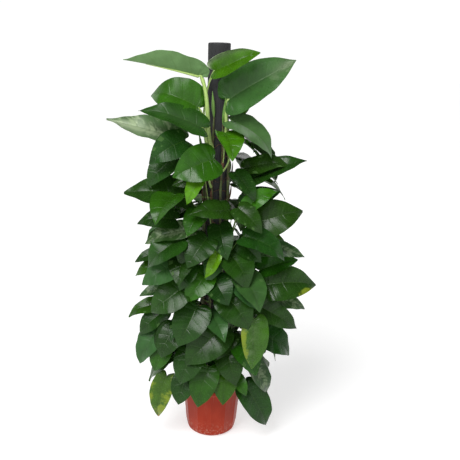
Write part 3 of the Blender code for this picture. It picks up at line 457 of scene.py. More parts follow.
def envelopes():
    """Plain outlines of the potted soil and of the pole, for the layout."""
    spare = CLEAR
    pot = [
        (0.0, 0.0),
        (POT_BASE_RADIUS + spare, 0.0),
        (POT_RIM_RADIUS - RIM_ROLL + spare, POT_HEIGHT - RIM_BAND),
        (POT_RIM_RADIUS + spare, POT_HEIGHT - RIM_BAND),
        (POT_RIM_RADIUS + spare, POT_HEIGHT + spare),
        (POT_RIM_RADIUS - RIM_ROLL - POT_WALL - spare, POT_HEIGHT + spare),
        (POT_RIM_RADIUS - RIM_ROLL - POT_WALL - spare, SOIL_TOP + spare),
        (0.0, SOIL_TOP + spare),
    ]
    pole = [
        (0.0, SOIL_TOP - SOCKET_DEPTH),
        (SLEEVE_RADIUS + spare, SOIL_TOP - SOCKET_DEPTH),
        (SLEEVE_RADIUS + spare, PLANT_HEIGHT),
        (0.0, PLANT_HEIGHT),
    ]
    return ("pot", turned(pot, 48)), ("pole", turned(pole, 24))


def bounds_of(verts):
    low = Vector([min(v[i] for v in verts) for i in range(3)])
    high = Vector([max(v[i] for v in verts) for i in range(3)])
    return low, high


def apart(one, other):
    low_a, high_a = one
    low_b, high_b = other
    for i in range(3):
        if low_a[i] > high_b[i] or low_b[i] > high_a[i]:
            return True
    return False


def is_free(verts, faces, skip, placed):
    box = bounds_of(verts)
    tree = None
    for label, other_box, other_tree in placed:
        if label == skip or apart(box, other_box):
            continue
        if tree is None:
            tree = BVHTree.FromPolygons(verts, faces, epsilon=0.0)
        if tree.overlap(other_tree):
            return False
    return True


def remember(label, verts, faces, placed):
    tree = BVHTree.FromPolygons(verts, faces, epsilon=0.0)
    placed.append((label, bounds_of(verts), tree))


def variations(kind):
    """Ways to nudge a leaf, mildest first."""
    if kind == "wide":
        scales = (1.0, 0.85, 0.7)
        lifts = (0.0, 0.03, -0.03, 0.06, 0.09)
        rolls = (0, 26, -26)
        swings = (0, 18, -18, 34, -34)
    elif kind == "full":
        scales = (1.0, 0.94, 0.87, 0.78)
        lifts = (0.0, 0.007, -0.007, 0.014, 0.024, 0.036, 0.050)
        rolls = (0, 9, -9, 18, -18)
        swings = (0, 6, -6, 12)
    else:
        scales = (1.0, 0.88)
        lifts = (0.0, 0.012)
        rolls = (0, 14, -14)
        swings = (0, 12, -12)
    tilts = (0, 7, -7)
    ways = []
    for scale in scales:
        for lift in lifts:
            for roll in rolls:
                for swing in swings:
                    for tilt in tilts:
                        cost = (1 - scale) * 14 + abs(lift) * 120 + abs(roll) / 12
                        cost += abs(swing) / 9 + abs(tilt) / 9
                        ways.append((cost, scale, lift, roll, swing, tilt))
    ways.sort(key=lambda way: way[0])
    return ways


# how far down the vine a petiole starts, and its sideways bow in metres
HOLDS = [(1.0, 0.0), (1.0, 0.018), (1.0, -0.018), (0.6, 0.0), (1.5, 0.0), (1.2, 0.036),
         (1.2, -0.036), (2.1, 0.0), (0.3, 0.0), (1.9, 0.030), (1.9, -0.030)]


def nearest_vines(point):
    """Vines in order of how close their bearing is to a point."""
    flat = Vector((point.x, point.y, 0.0)).normalized()
    rank = []
    for vine in range(len(VINES)):
        if vine_top(vine) > point.z - 0.16:
            rank.append((-flat.dot(bearing(VINES[vine][0])), vine))
    rank.sort()
    return [vine for _, vine in rank[:3]]


def place_leaf(leaf, own, simple, ways, rooms, placed):
    """First way of holding the leaf that touches nothing already placed."""
    for room in rooms:
        for way in ways:
            _, scale, lift, roll, swing, tilt = way
            trial = changed(leaf, scale, lift, roll, swing, tilt)
            verts, faces = leaf_mesh(trial, None, simple, room)
            if not is_free(verts, faces, None, placed):
                continue
            for vine in nearest_vines(trial.base):
                stem = "vine_%d" % vine
                for drop, bow in HOLDS:
                    curve = petiole_curve(trial, vine, drop, bow, not own)
                    verts, faces = leaf_mesh(trial, curve, simple, room)
                    if not is_free(verts, faces, stem, placed):
                        continue
                    if own:
                        verts, faces = leaf_mesh(trial, curve, simple, PETIOLE_GAP * 0.6)
                        if not is_free(verts, faces, None, placed):
                            continue
                    return trial, vine, curve
    return None


def hand_leaves():
    """Leaves of the table, scaled with the plant; True where a leaf is its own piece."""
    wide = CM * FOLIAGE_REACH / NOMINAL_REACH
    tall = CM * PLANT_HEIGHT / NOMINAL_HEIGHT
    for index, (base, tip, face, width, fold, tone, own) in enumerate(LEAVES):
        start = (base[0] * wide, base[1] * wide, base[2] * tall)
        end = (tip[0] * wide, tip[1] * wide, tip[2] * tall)
        arch = ARCHES.get(index + 1, ARCH)
        leaf = Leaf(start, end, face, width, fold, tone, arch)
        leaf.stout = STOUT.get(index + 1, 1.0)
        leaf.low = LOW.get(index + 1, 0.0) * PLANT_HEIGHT / NOMINAL_HEIGHT
        yield leaf, bool(own)


def rule_leaves():
    """Leaves round the sides and back, one above the other on each vine."""
    grow = FOLIAGE_REACH / NOMINAL_REACH
    tall = PLANT_HEIGHT / NOMINAL_HEIGHT
    number = 0
    for start, step, usual, foot, spread, lean, clear in FILL_ROWS:
        for vine, (angle, top) in enumerate(VINES):
            height = start + 1.9 * (vine % 4)
            turn = 1
            while height < top + 4.0:
                number += 1
                wave = unit_wave(number)
                wave2 = unit_wave(number + 57)
                side = angle + turn * (spread + 6.0 * wave)
                base = bearing(side) * (foot + 0.026 * wave2) * grow
                base.z = height * CM * tall
                length = (usual + 0.018 * wave) * grow
                dip = math.radians(lean + 20.0 * wave2)
                out = bearing(side + turn * 16.0)
                run = out * math.cos(dip) + Vector((0, 0, -math.sin(dip)))
                face = bearing(side) * 0.6 + Vector((0, 0, 0.8))
                tone = ("dark", "bright", "dark", "pale", "dark", "fresh")[number % 6]
                width = 0.70 + 0.10 * wave2
                off_front = abs((side - FRONT + 180.0) % 360.0 - 180.0)
                bare = off_front <= BARE_FRONT and height >= BARE_ABOVE
                if off_front >= clear and not bare:
                    yield Leaf(base, base + run * length, face, width, 8.0, tone)
                height += step + 1.5 * wave
                turn = -turn


def grow_leaves():
    """Lay out every leaf: the listed ones first, then the fill."""
    placed = []
    for label, (verts, faces) in envelopes():
        remember(label, verts, faces, placed)
    for vine in range(len(VINES)):
        verts, faces = vine_mesh(vine)
        remember("vine_%d" % vine, verts, faces, placed)
        STEM_TREES.append(placed[-1][2])
    laid = []
    full = variations("full")
    wide = variations("wide")
    short = variations("short")
    for index, (leaf, own) in enumerate(hand_leaves()):
        found = place_leaf(leaf, own, not own, full, (ROOM_WANTED, ROOM_NEEDED), placed)
        long_hold = leaf.low
        for share in SHORTER_HOLDS:
            if found is None and own:
                leaf.low = long_hold * share
                found = place_leaf(leaf, own, False, wide, (ROOM_NEEDED,), placed)
        if found is None:
            continue
        trial, vine, curve = found
        verts, faces = leaf_mesh(trial, curve, not own, 0.0)
        remember("leaf_%02d" % (index + 1), verts, faces, placed)
        laid.append((index + 1, own, trial, vine, curve))
    number = len(LEAVES)
    for leaf in rule_leaves():
        number += 1
        found = place_leaf(leaf, False, True, short, (ROOM_NEEDED,), placed)
        if found is None:
            continue
        trial, vine, curve = found
        verts, faces = leaf_mesh(trial, curve, True, 0.0)
        remember("leaf_%d" % number, verts, faces, placed)
        laid.append((number, False, trial, vine, curve))
    return laid


def link(name, data):
    """New object in the scene that shows a mesh, lamp or camera."""
    thing = bpy.data.objects.new(name, data)
    bpy.context.scene.collection.objects.link(thing)
    return thing


# ------------------------------------------------------------ fine leaf shape
# Half of the leaf outline and the matching midrib points where the side veins
# start: distance along the midrib, half width, vein start (all as fractions).
HALF = [
    (0.000, 0.015, 0.000), (-0.035, 0.110, 0.004), (-0.080, 0.270, 0.010),
    (-0.100, 0.460, 0.018), (-0.075, 0.670, 0.030), (-0.005, 0.850, 0.050),
    (0.115, 0.960, 0.085), (0.265, 1.000, 0.160), (0.430, 0.955, 0.290),
    (0.595, 0.825, 0.440), (0.740, 0.610, 0.595), (0.855, 0.355, 0.745),
    (0.935, 0.150, 0.870), (0.985, 0.025, 0.975),
]
VEINS = 8
BLADE_SKIN = 0.0007
NO_MARKS = (0, 0, 0, 0)      # stalks, roots and sheaths carry no leaf marks


def spline_rows(count):
    """Outline sampled at even steps with a smooth curve through HALF."""
    points = np.array(HALF)
    rows = []
    for i in range(count):
        place = i / (count - 1) * (len(points) - 1)
        k = min(int(place), len(points) - 2)
        f = place - k
        before = points[max(k - 1, 0)]
        after = points[min(k + 2, len(points) - 1)]
        here = points[k]
        there = points[k + 1]
        bend = 0.5 * ((there - before) * f
                      + (2 * before - 5 * here + 4 * there - after) * f * f
                      + (3 * here - before - 3 * there + after) * f ** 3)
        rows.append(here + bend)
    return np.array(rows)


def shares(count):
    """Steps from the midrib out to the margin."""
    if count == 9:
        return np.array([0.0, 0.035, 0.13, 0.28, 0.45, 0.62, 0.78, 0.91, 1.0])
    return np.array([0.0, 0.05, 0.28, 0.62, 1.0])


class Growth:
    """Collects quads, colours and leaf coordinates for one piece."""

    def __init__(self):
        self.verts = []
        self.quads = []
        self.slots = []
        self.uvs = []
        self.colour = []
        self.marks = []
        self.sharp = []
        self.count = 0

    def add(self, verts, quads, slots, uvs, colour, marks, sharp=None):
        n = len(verts)
        self.verts.append(verts)
        self.quads.append(quads + self.count)
        self.slots.append(slots)
        self.uvs.append(uvs)
        self.colour.append(np.tile(np.array(colour, dtype=float), (n, 1))
                           if np.ndim(colour) == 1 else colour)
        self.marks.append(np.tile(np.array(marks, dtype=float), (n, 1))
                          if np.ndim(marks) == 1 else marks)
        self.sharp.append(np.zeros(n, dtype=int) if sharp is None else sharp)
        self.count += n

    def build(self, name, materials):
        verts = np.concatenate(self.verts)
        quads = np.concatenate(self.quads).astype(np.int32)
        slots = np.concatenate(self.slots).astype(np.int32)
        uvs = np.concatenate(self.uvs)
        mesh = bpy.data.meshes.new(name)
        mesh.vertices.add(len(verts))
        mesh.vertices.foreach_set("co", verts.astype(np.float32).ravel())
        mesh.loops.add(quads.size)
        mesh.loops.foreach_set("vertex_index", quads.ravel())
        mesh.polygons.add(len(quads))
        mesh.polygons.foreach_set("loop_start", np.arange(0, quads.size, 4, dtype=np.int32))
        mesh.polygons.foreach_set("material_index", slots)
        mesh.update(calc_edges=True)
        for material in materials:
            mesh.materials.append(material)
        mesh.polygons.foreach_set("use_smooth", np.full(len(quads), True))
        layer = mesh.uv_layers.new(name="leaf")
        layer.data.foreach_set("uv", uvs[quads.ravel()].astype(np.float32).ravel())
        for label, values in (("leaf_colour", self.colour), ("leaf_marks", self.marks)):
            data = np.concatenate(values)
            holder = mesh.attributes.new(label, "FLOAT_COLOR", "POINT")
            if data.shape[1] == 3:
                data = np.concatenate([data, np.ones((len(data), 1))], axis=1)
            holder.data.foreach_set("color", data.astype(np.float32).ravel())
        flags = np.concatenate(self.sharp)
        if flags.any():
            pairs = np.empty(len(mesh.edges) * 2, dtype=np.int32)
            mesh.edges.foreach_get("vertices", pairs)
            pairs = pairs.reshape(-1, 2)
            one = flags[pairs[:, 0]]
            two = flags[pairs[:, 1]]
            mesh.edges.foreach_set("use_edge_sharp", (one > 0) & (one == two))
        mesh.validate()
        return link(name, mesh)


def closed_sheet(rows, cols):
    """Quads of a grid, of its copy underneath and of the rim between them."""
    i, j = np.meshgrid(np.arange(rows - 1), np.arange(cols - 1), indexing="ij")
    a = (i * cols + j).ravel()
    grid = np.stack([a, a + 1, a + cols + 1, a + cols], axis=1)
    border = list(range(0, cols))
    border += [r * cols + cols - 1 for r in range(1, rows)]
    border += [(rows - 1) * cols + c for c in range(cols - 2, -1, -1)]
    border += [r * cols for r in range(rows - 2, 0, -1)]
    border = np.array(border)
    following = np.roll(border, -1)
    count = rows * cols
    rim = np.stack([following, border, border + count, following + count], axis=1)
    slots = np.concatenate([np.zeros(len(grid)), np.ones(len(grid)), np.zeros(len(rim))])
    return np.concatenate([grid[:, ::-1], grid + count, rim]), slots, border


def blade(leaf, fine, seed):
    """Leaf blade as a thin closed shell that follows its side veins."""
    axis, normal, left, length = leaf.frame()
    rows = VEINS * 4 + 1 if fine else VEINS * 2 + 1
    step = shares(9 if fine else 5)
    line = spline_rows(rows)
    side = np.concatenate([-step[:0:-1], step])
    out = np.abs(side)
    cols = len(side)
    edge_x = line[:, 0][:, None]
    edge_y = line[:, 1][:, None]
    edge_y = edge_y * (1.0 - leaf.taper * np.clip(edge_x, 0, 1) ** 1.5)
    root_x = line[:, 2][:, None]
    half = leaf.width / 2
    u = np.linspace(0.0, 1.0, rows)[:, None] + np.zeros((1, cols))
    s = out[None, :] + np.zeros((rows, 1))
    sign = np.sign(side)[None, :]
    x = root_x + (edge_x - root_x) * s ** 1.25
    y = edge_y * half * s
    # heights over the leaf's plane: folded halves, arched midrib, wavy margin,
    # puffs between side veins, sunk midrib, drooping tip and basal lobes
    phase = seed * 1.7
    lean = math.sin(seed * 2.3) * 0.09
    fold = leaf.fold + 0.04
    soft = 0.03              # rounding of the fold at the midrib
    rise = (np.sqrt(y * y + soft * soft) - soft) * math.tan(fold)
    arch = leaf.arch * 4 * x * (1 - x)
    wave = leaf.wave * s ** 2.2 * np.sin(6.28 * 1.7 * x + phase + sign * 0.9)
    wave = wave + leaf.wave * 0.45 * s ** 3 * np.sin(6.28 * 4.1 * x + phase * 2.1 + sign * 2.0)
    puff = leaf.puff * np.sin(np.pi * np.clip(s, 0, 1)) ** 0.8
    puff = puff * (0.5 - 0.5 * np.cos(2 * np.pi * VEINS * u)) * np.clip(1.4 - u, 0, 1)
    groove = -0.006 * np.exp(-(s / 0.06) ** 2) * np.clip(1.1 - x, 0, 1)
    droop = -leaf.curl * np.clip((x - 0.55) / 0.45, 0, 1) ** 2
    lobes = -0.10 * np.clip(-x, 0, 1) - 0.05 * s ** 4 * np.clip(0.4 - x, 0, 1)
    twist = lean * y * x
    roll = -leaf.cup * s ** 3 * edge_y * half
    z = rise + arch + wave + puff + groove + droop + lobes + twist + roll
    if leaf.turn_over:
        over, start, tight = leaf.turn_over
        width = edge_y * half
        past = np.clip(s - start, 0, 1) * width * (sign == over)
        angle = past / tight
        y = y - past + tight * np.sin(angle)
        z = z - past * math.tan(fold) + tight * (1 - np.cos(angle)) * 1.15
    y = y * (math.cos(fold) * 0.25 + 0.75)
    bow = leaf.bend * 4 * x * (1 - x)
    base = np.array(leaf.base)
    a = np.array(axis) * length
    n = np.array(normal) * length
    b = np.array(left) * length
    lateral = (y * sign + bow)
    top = base + x[..., None] * a + lateral[..., None] * b + z[..., None] * n
    top = top.reshape(-1, 3)
    rib = 0.0010 * np.exp(-(s / 0.05) ** 2) * np.clip(1.0 - x, 0.15, 1)
    under = top - (np.array(normal) * (BLADE_SKIN + rib.reshape(-1, 1)))
    count = rows * cols
    quads, slots, border = closed_sheet(rows, cols)
    uv = np.stack([u.ravel(), (0.5 + 0.5 * s * sign).ravel()], axis=1)
    flags = np.zeros(count * 2, dtype=int)
    flags[border] = 1
    flags[border + count] = 2

    def patch(along, across, long, wide, amount):
        near = ((uv[:, 0] - along) / long) ** 2 + ((uv[:, 1] - across) / wide) ** 2
        return amount * np.exp(-near)

    marks = np.tile(np.array(leaf.marks), (count, 1))
    for channel, *area in leaf.patches:
        marks[:, channel] = np.maximum(marks[:, channel], patch(*area))
    colour = np.tile(np.array(leaf.colour, dtype=float), (count, 1))
    for area in leaf.whitish:
        share = patch(*area).reshape(-1, 1)
        colour = colour * (1.0 - share) + np.array(WHITISH) * share
    return (np.concatenate([top, under]), quads, slots, np.concatenate([uv, uv]),
            np.concatenate([colour, colour]), np.concatenate([marks, marks]), flags)


def tube(path, radii, sides, slot, colour, squash=0.0):
    """Closed tube along points; radii may differ from ring to ring."""
    path = [Vector(p) for p in path]
    rings = []
    uvs = []
    count = len(path)
    slope = (path[1] - path[0]).normalized()
    side = slope.orthogonal().normalized()
    for i, point in enumerate(path):
        ahead = path[min(i + 1, count - 1)] - path[max(i - 1, 0)]
        if ahead.length > 1e-9:
            slope = ahead.normalized()
        side = (side - slope * side.dot(slope)).normalized()
        up = slope.cross(side)
        for k in range(sides):
            angle = math.tau * k / sides
            r = radii[i] * (1.0 + squash * math.cos(angle * 2))
            rings.append(point + (side * math.cos(angle) + up * math.sin(angle)) * r)
            uvs.append((i / (count - 1), k / sides))
    start = len(rings)
    rings.append(path[0])
    rings.append(path[-1])
    uvs.extend([(0.0, 0.5), (1.0, 0.5)])
    quads = []
    for i in range(count - 1):
        for k in range(sides):
            n = (k + 1) % sides
            low = i * sides
            high = low + sides
            quads.append((low + k, low + n, high + n, high + k))
    last = (count - 1) * sides
    for k in range(0, sides, 2):
        n = (k + 1) % sides
        m = (k + 2) % sides
        quads.append((start, m, n, k))
        quads.append((start + 1, last + k, last + n, last + m))
    quads = np.array(quads)
    return (np.array([tuple(p) for p in rings]), quads, np.full(len(quads), slot),
            np.array(uvs), colour, NO_MARKS)


def petiole(leaf, curve, stop_short, colour):
    """Round leaf stalk that runs on under the blade as its midrib."""
    axis, normal, left, length = leaf.frame()
    stout = thickness(leaf, length)
    path = []
    radii = []
    steps = 15
    for i in range(steps):
        t = i / (steps - 1)
        place, _ = bezier(curve, t)
        radius = (PETIOLE_FOOT + (PETIOLE_NECK - PETIOLE_FOOT) * t) * stout
        radius *= 1.0 + 0.45 * math.exp(-(t / 0.07) ** 2)
        radius *= 1.0 + 0.22 * math.exp(-((t - 0.94) / 0.045) ** 2)
        path.append(place - normal * (0.0012 * t))
        radii.append(radius)
    foot = (path[0] - path[1]).normalized()
    path.insert(0, path[0] + foot * stop_short)
    radii.insert(0, radii[0] * 1.02)
    neck = PETIOLE_NECK * stout
    for x in (0.03, 0.09, 0.18, 0.32, 0.50, 0.70):
        z = leaf.arch * 4 * x * (1 - x) - leaf.curl * max(0.0, (x - 0.55) / 0.45) ** 2
        bow = leaf.bend * 4 * x * (1 - x)
        radius = max(0.0004, neck * (0.85 - x * 1.05))
        point = leaf.base + axis * length * x
        point += normal * (length * (z - 0.006) - 0.0005 - radius)
        point += left * length * bow
        path.append(point)
        radii.append(radius)
    return tube(path, radii, 8, 2, colour)


# ------------------------------------------------------------------ leaf looks
# Base colour, then shares of stripes, yellowing, painted sheen and scorched spot.
LOOKS = {
    "dark": ((0.0102, 0.0425, 0.0032), (0.0, 0.0, 0.15, 0.0)),
    "bright": ((0.018, 0.074, 0.0025), (0.0, 0.0, 0.0, 0.0)),
    "fresh": ((0.028, 0.100, 0.0020), (0.0, 0.0, 0.0, 0.0)),
    "young": ((0.080, 0.200, 0.0050), (0.0, 0.0, 0.0, 0.0)),
    "pale": ((0.022, 0.076, 0.012), (0.0, 0.0, 0.60, 0.0)),
    "silver": ((0.016, 0.056, 0.009), (0.60, 0.0, 0.55, 0.0)),
    "turning": ((0.030, 0.100, 0.007), (0.0, 0.10, 0.30, 0.0)),
    "yellow": ((0.044, 0.110, 0.008), (0.0, 0.40, 0.10, 0.0)),
}
# the third mark is painted sheen: a grey-green mixed into the leaf colour
STRIPE, YELLOW, PAINTED_SHEEN, SCORCH = range(4)
WHITISH = (0.46, 0.54, 0.36)  # pale margins and tips, and a painted highlight on leaf 3's tip
TOP_PAINTED_LIGHT = 0.45              # top leaves lighter: young growth and painted light from above

# What sets single leaves apart, by number: curl of the tip, cupping, an edge
# turned over (side, from where, how tight), the colour as tint, patches of a
# mark as channel, place along and across the blade, size along and across,
# strength, and whitish patches with the same five values.
NOTES = {
    # leaf 1: its light tint is partly painted light from above on a pale leaf
    1: {"curl": -0.01, "wave": 0.010, "taper": 0.10, "tint": (0.190, 0.340, 0.140),
        "patches": [(STRIPE, 0.9, 0.3, 0.2, 0.2, 0.7)]},
    2: {"tint": (0.036, 0.118, 0.0020), "cup": -0.06, "wave": 0.010,
        "turn_over": (1, 0.62, 0.040),
        "whitish": [(0.26, 1.0, 0.34, 0.16, 0.9), (0.0, 0.2, 0.07, 0.25, 0.8)]},
    # leaf 3: a patch of painted sheen, and a whitish patch at the tip that is a painted highlight
    3: {"curl": -0.03, "wave": 0.012, "taper": 0.12, "tint": (0.024, 0.088, 0.012),
        "patches": [(PAINTED_SHEEN, 0.6, 0.5, 0.5, 0.5, 0.8), (STRIPE, 0.9, 0.25, 0.12, 0.2, 0.8)],
        "whitish": [(0.93, 0.5, 0.10, 0.4, 0.35)]},
    # leaf 4: the stripe patch near the base is a painted highlight, whitish gloss streaks
    4: {"tint": (0.024, 0.094, 0.0040), "curl": 0.30,
        "patches": [(STRIPE, 0.24, 0.72, 0.14, 0.18, 1.1)], "wave": 0.016, "puff": 0.016},
    # leaf 5: a patch of painted sheen
    5: {"patches": [(PAINTED_SHEEN, 0.6, 0.5, 0.5, 0.4, 0.8)]},
    6: {"taper": 0.20, "curl": 0.02,
        "patches": [(STRIPE, 0.75, 0.5, 0.40, 0.8, 1.7)],
        "whitish": [(0.86, 0.6, 0.22, 0.40, 0.85)]},
    # leaf 7: its lighter tint is partly painted sheen
    7: {"curl": 0.10, "tint": (0.052, 0.128, 0.032)},
    8: {"turn_over": (-1, 0.70, 0.05)},
    9: {"puff": 0.018},
    12: {"bend": 0.05, "wave": 0.03},
    14: {"taper": 0.20, "turn_over": (1, 0.72, 0.05)},
    23: {"patches": [(SCORCH, 0.16, 0.74, 0.035, 0.045, 1.0)]},
    24: {"bend": 0.09, "wave": 0.03},
    30: {"taper": 0.10, "patches": [(YELLOW, 0.78, 0.08, 0.12, 0.16, 0.8)]},
    35: {"patches": [(YELLOW, 0.45, 0.0, 0.60, 0.30, 0.72), (STRIPE, 0.6, 0.2, 0.5, 0.3, 0.3)]},
    40: {"patches": [(YELLOW, 0.9, 0.8, 0.4, 0.5, 0.9), (SCORCH, 1.0, 0.5, 0.05, 0.7, 0.5)]},
}


def dress(leaf, number):
    """Give a leaf its own colour, waviness and marks."""
    colour, marks = LOOKS[leaf.tone]
    # leaves near the top are lightened, partly young growth and partly painted light from above
    lift = 1.0 + TOP_PAINTED_LIGHT * max(0.0, min(1.0, (leaf.base.z / PLANT_HEIGHT - 0.70) / 0.15))
    colour = [part * lift for part in colour]
    wave = unit_wave(number * 3 + 1)
    other = unit_wave(number * 5 + 2)
    bright = 1.0 + 0.22 * wave
    leaf.colour = (colour[0] * bright * (1.0 + 0.25 * other), colour[1] * bright,
                   colour[2] * bright * (1.0 - 0.20 * other))
    leaf.marks = tuple(marks)
    leaf.wave = 0.014 + 0.010 * abs(other)
    leaf.puff = 0.010 + 0.004 * wave
    leaf.curl = 0.06 + 0.12 * abs(wave)
    leaf.cup = 0.06 * other
    leaf.bend = 0.045 * wave
    leaf.taper = 0.10 + 0.10 * unit_wave(number * 7 + 5)
    leaf.turn_over = None
    leaf.tint = None
    leaf.whitish = []
    leaf.patches = []
    if number % 7 == 3:
        leaf.turn_over = (1 if wave > 0 else -1, 0.74, 0.07)
    for key, value in NOTES.get(number, {}).items():
        setattr(leaf, key, value)
    if leaf.tint:
        leaf.colour = leaf.tint


# ------------------------------------------------------------------- materials
class Nodes:
    """Short way to write a node material with one Principled shader."""

    def __init__(self, name):
        self.material = bpy.data.materials.new(name)
        self.material.use_nodes = True
        self.tree = self.material.node_tree
        self.shader = self.tree.nodes["Principled BSDF"]

    def put(self, socket, value):
        if isinstance(value, (int, float)):
            socket.default_value = value
        elif isinstance(value, tuple):
            socket.default_value = value if len(value) == 4 else (*value, 1.0)
        else:
            self.tree.links.new(value, socket)

    def set(self, **values):
        for key, value in values.items():
            self.put(self.shader.inputs[key.replace("_", " ")], value)

    def attribute(self, name, output="Color"):
        node = self.tree.nodes.new("ShaderNodeAttribute")
        node.attribute_name = name
        return node.outputs[output]

    def split(self, colour):
        node = self.tree.nodes.new("ShaderNodeSeparateColor")
        self.tree.links.new(colour, node.inputs[0])
        return node.outputs

    def uv(self):
        node = self.tree.nodes.new("ShaderNodeUVMap")
        node.uv_map = "leaf"
        parts = self.tree.nodes.new("ShaderNodeSeparateXYZ")
        self.tree.links.new(node.outputs[0], parts.inputs[0])
        return parts.outputs[0], parts.outputs[1]

    def place(self):
        node = self.tree.nodes.new("ShaderNodeTexCoord")
        return node.outputs["Object"]

    def math(self, kind, a, b=0.0):
        node = self.tree.nodes.new("ShaderNodeMath")
        node.operation = kind
        for socket, value in zip(node.inputs, (a, b)):
            self.put(socket, value)
        return node.outputs[0]

    def times(self, a, b):
        return self.math("MULTIPLY", a, b)

    def plus(self, a, b):
        return self.math("ADD", a, b)

    def minus(self, a, b):
        return self.math("SUBTRACT", a, b)

    def smooth(self, value, low, high, to_low=0.0, to_high=1.0):
        node = self.tree.nodes.new("ShaderNodeMapRange")
        node.interpolation_type = "SMOOTHSTEP"
        for socket, item in zip(node.inputs, (value, low, high, to_low, to_high)):
            self.put(socket, item)
        return node.outputs[0]

    def mix(self, share, a, b, kind="MIX"):
        node = self.tree.nodes.new("ShaderNodeMix")
        node.data_type = "RGBA"
        node.blend_type = kind
        self.put(node.inputs[0], share)
        self.put(node.inputs[6], a)
        self.put(node.inputs[7], b)
        return node.outputs[2]

    def join(self, x, y, z=0.0):
        node = self.tree.nodes.new("ShaderNodeCombineXYZ")
        for socket, value in zip(node.inputs, (x, y, z)):
            self.put(socket, value)
        return node.outputs[0]

    def noise(self, where, scale, detail=3.0, rough=0.5):
        node = self.tree.nodes.new("ShaderNodeTexNoise")
        self.tree.links.new(where, node.inputs["Vector"])
        node.inputs["Scale"].default_value = scale
        node.inputs["Detail"].default_value = detail
        node.inputs["Roughness"].default_value = rough
        return node.outputs[0]

    def bump(self, height, strength, distance):
        node = self.tree.nodes.new("ShaderNodeBump")
        node.inputs["Strength"].default_value = strength
        node.inputs["Distance"].default_value = distance
        self.tree.links.new(height, node.inputs["Height"])
        self.tree.links.new(node.outputs[0], self.shader.inputs["Normal"])


VEIN_PALE = (0.045, 0.110, 0.018)
VEIN_UNDER = (0.100, 0.190, 0.055)
UNDERSIDE = (0.090, 0.180, 0.050)
# grey-green of the painted sheen
PAINTED_SHEEN_GREY = (0.075, 0.140, 0.060)
CREAM = (0.30, 0.38, 0.22)
OLD_YELLOW = (0.19, 0.25, 0.018)
SCORCH_EDGE = (0.42, 0.17, 0.025)
SCORCH_CORE = (0.060, 0.026, 0.012)


def leaf_material(name, under):
    """Waxy blade: veins, marbling, ageing, painted sheen and painted shade in leaf coordinates."""
    n = Nodes(name)
    u, v = n.uv()
    where = n.place()
    base = n.attribute("leaf_colour")
    marks = n.split(n.attribute("leaf_marks"))
    spot = n.attribute("leaf_marks", "Alpha")
    across = n.times(n.math("ABSOLUTE", n.minus(v, 0.5)), 2.0)
    # side veins, finer ones between them, and the midrib
    run = n.times(u, float(VEINS))
    wobble = n.times(n.minus(n.noise(where, 60.0), 0.5), 0.16)
    phase = n.math("FRACT", n.plus(n.plus(run, 0.5), wobble))
    off = n.math("ABSOLUTE", n.minus(phase, 0.5))
    vein = n.smooth(off, 0.015, 0.075, 1.0, 0.0)
    vein = n.times(vein, n.smooth(across, 0.25, 1.0, 1.0, 0.15))
    small = n.math("FRACT", n.plus(n.times(run, 3.0), 0.5))
    small = n.math("ABSOLUTE", n.minus(small, 0.5))
    small = n.smooth(small, 0.03, 0.22, 1.0, 0.0)
    midrib = n.smooth(across, 0.010, 0.034, 1.0, 0.0)
    soft = n.noise(where, 26.0, 4.0, 0.6)
    fleck = n.noise(where, 210.0, 3.0, 0.6)
    shade = n.plus(n.smooth(soft, 0.25, 0.75, 0.78, 1.22),
                   n.times(n.minus(fleck, 0.5), 0.22))
    # darker toward the midrib: painted shade in the fold of the blade
    shade = n.times(shade, n.smooth(across, 0.0, 0.5, 0.86, 1.04))
    colour = n.mix(1.0, base, n.join(shade, shade, shade), "MULTIPLY")
    pale = VEIN_UNDER if under else VEIN_PALE
    if under:
        colour = n.mix(0.45, colour, UNDERSIDE)
    # painted sheen: grey-green mixed in by the third mark
    colour = n.mix(n.times(n.smooth(marks[2], 0.0, 1.0), 0.22), colour, PAINTED_SHEEN_GREY)
    colour = n.mix(n.times(vein, 0.30 if under else 0.11), colour, pale)
    colour = n.mix(n.times(small, 0.06), colour, pale)
    # silvery marbling, then yellowing from margin and tip, then scorched spots
    streak = n.noise(n.join(n.times(u, 16.0), n.times(v, 2.6)),
                     1.0, 6.0, 0.62)
    cream = n.smooth(streak, 0.46, 0.62)
    cream = n.times(cream, marks[0])
    cream = n.times(cream, 0.62)
    colour = n.mix(cream, colour, CREAM)
    old = n.noise(where, 34.0, 4.0, 0.62)
    old = n.plus(old, n.times(across, 0.16))
    old = n.plus(old, n.times(u, 0.14))
    amount = n.minus(1.02, n.times(marks[1], 0.62))
    old = n.smooth(n.minus(old, amount), -0.06, 0.14)
    colour = n.mix(n.times(old, 0.8), colour, OLD_YELLOW)
    colour = n.mix(n.times(midrib, 0.40 if under else 0.17), colour,
                   (0.130, 0.230, 0.050) if under else (0.080, 0.180, 0.025))
    colour = n.mix(n.smooth(spot, 0.12, 0.40), colour, SCORCH_EDGE)
    colour = n.mix(n.smooth(spot, 0.42, 0.62), colour, SCORCH_CORE)
    n.set(Base_Color=colour)
    rough = n.plus(n.smooth(fleck, 0.2, 0.8, -0.04, 0.06),
                   n.smooth(marks[2], 0.0, 1.0, 0.24, 0.36))
    if under:
        rough = n.plus(rough, 0.16)
    n.set(Roughness=rough)
    n.shader.inputs["Specular IOR Level"].default_value = 0.12 if under else 0.22
    height = n.times(vein, 0.9 if under else -0.8)
    height = n.plus(height, n.times(small, 0.15 if under else -0.12))
    height = n.plus(height, n.times(fleck, 0.30))
    height = n.plus(height, n.times(n.noise(where, 800.0, 2.0), 0.10))
    n.bump(height, 0.50, 0.0010)
    return n.material


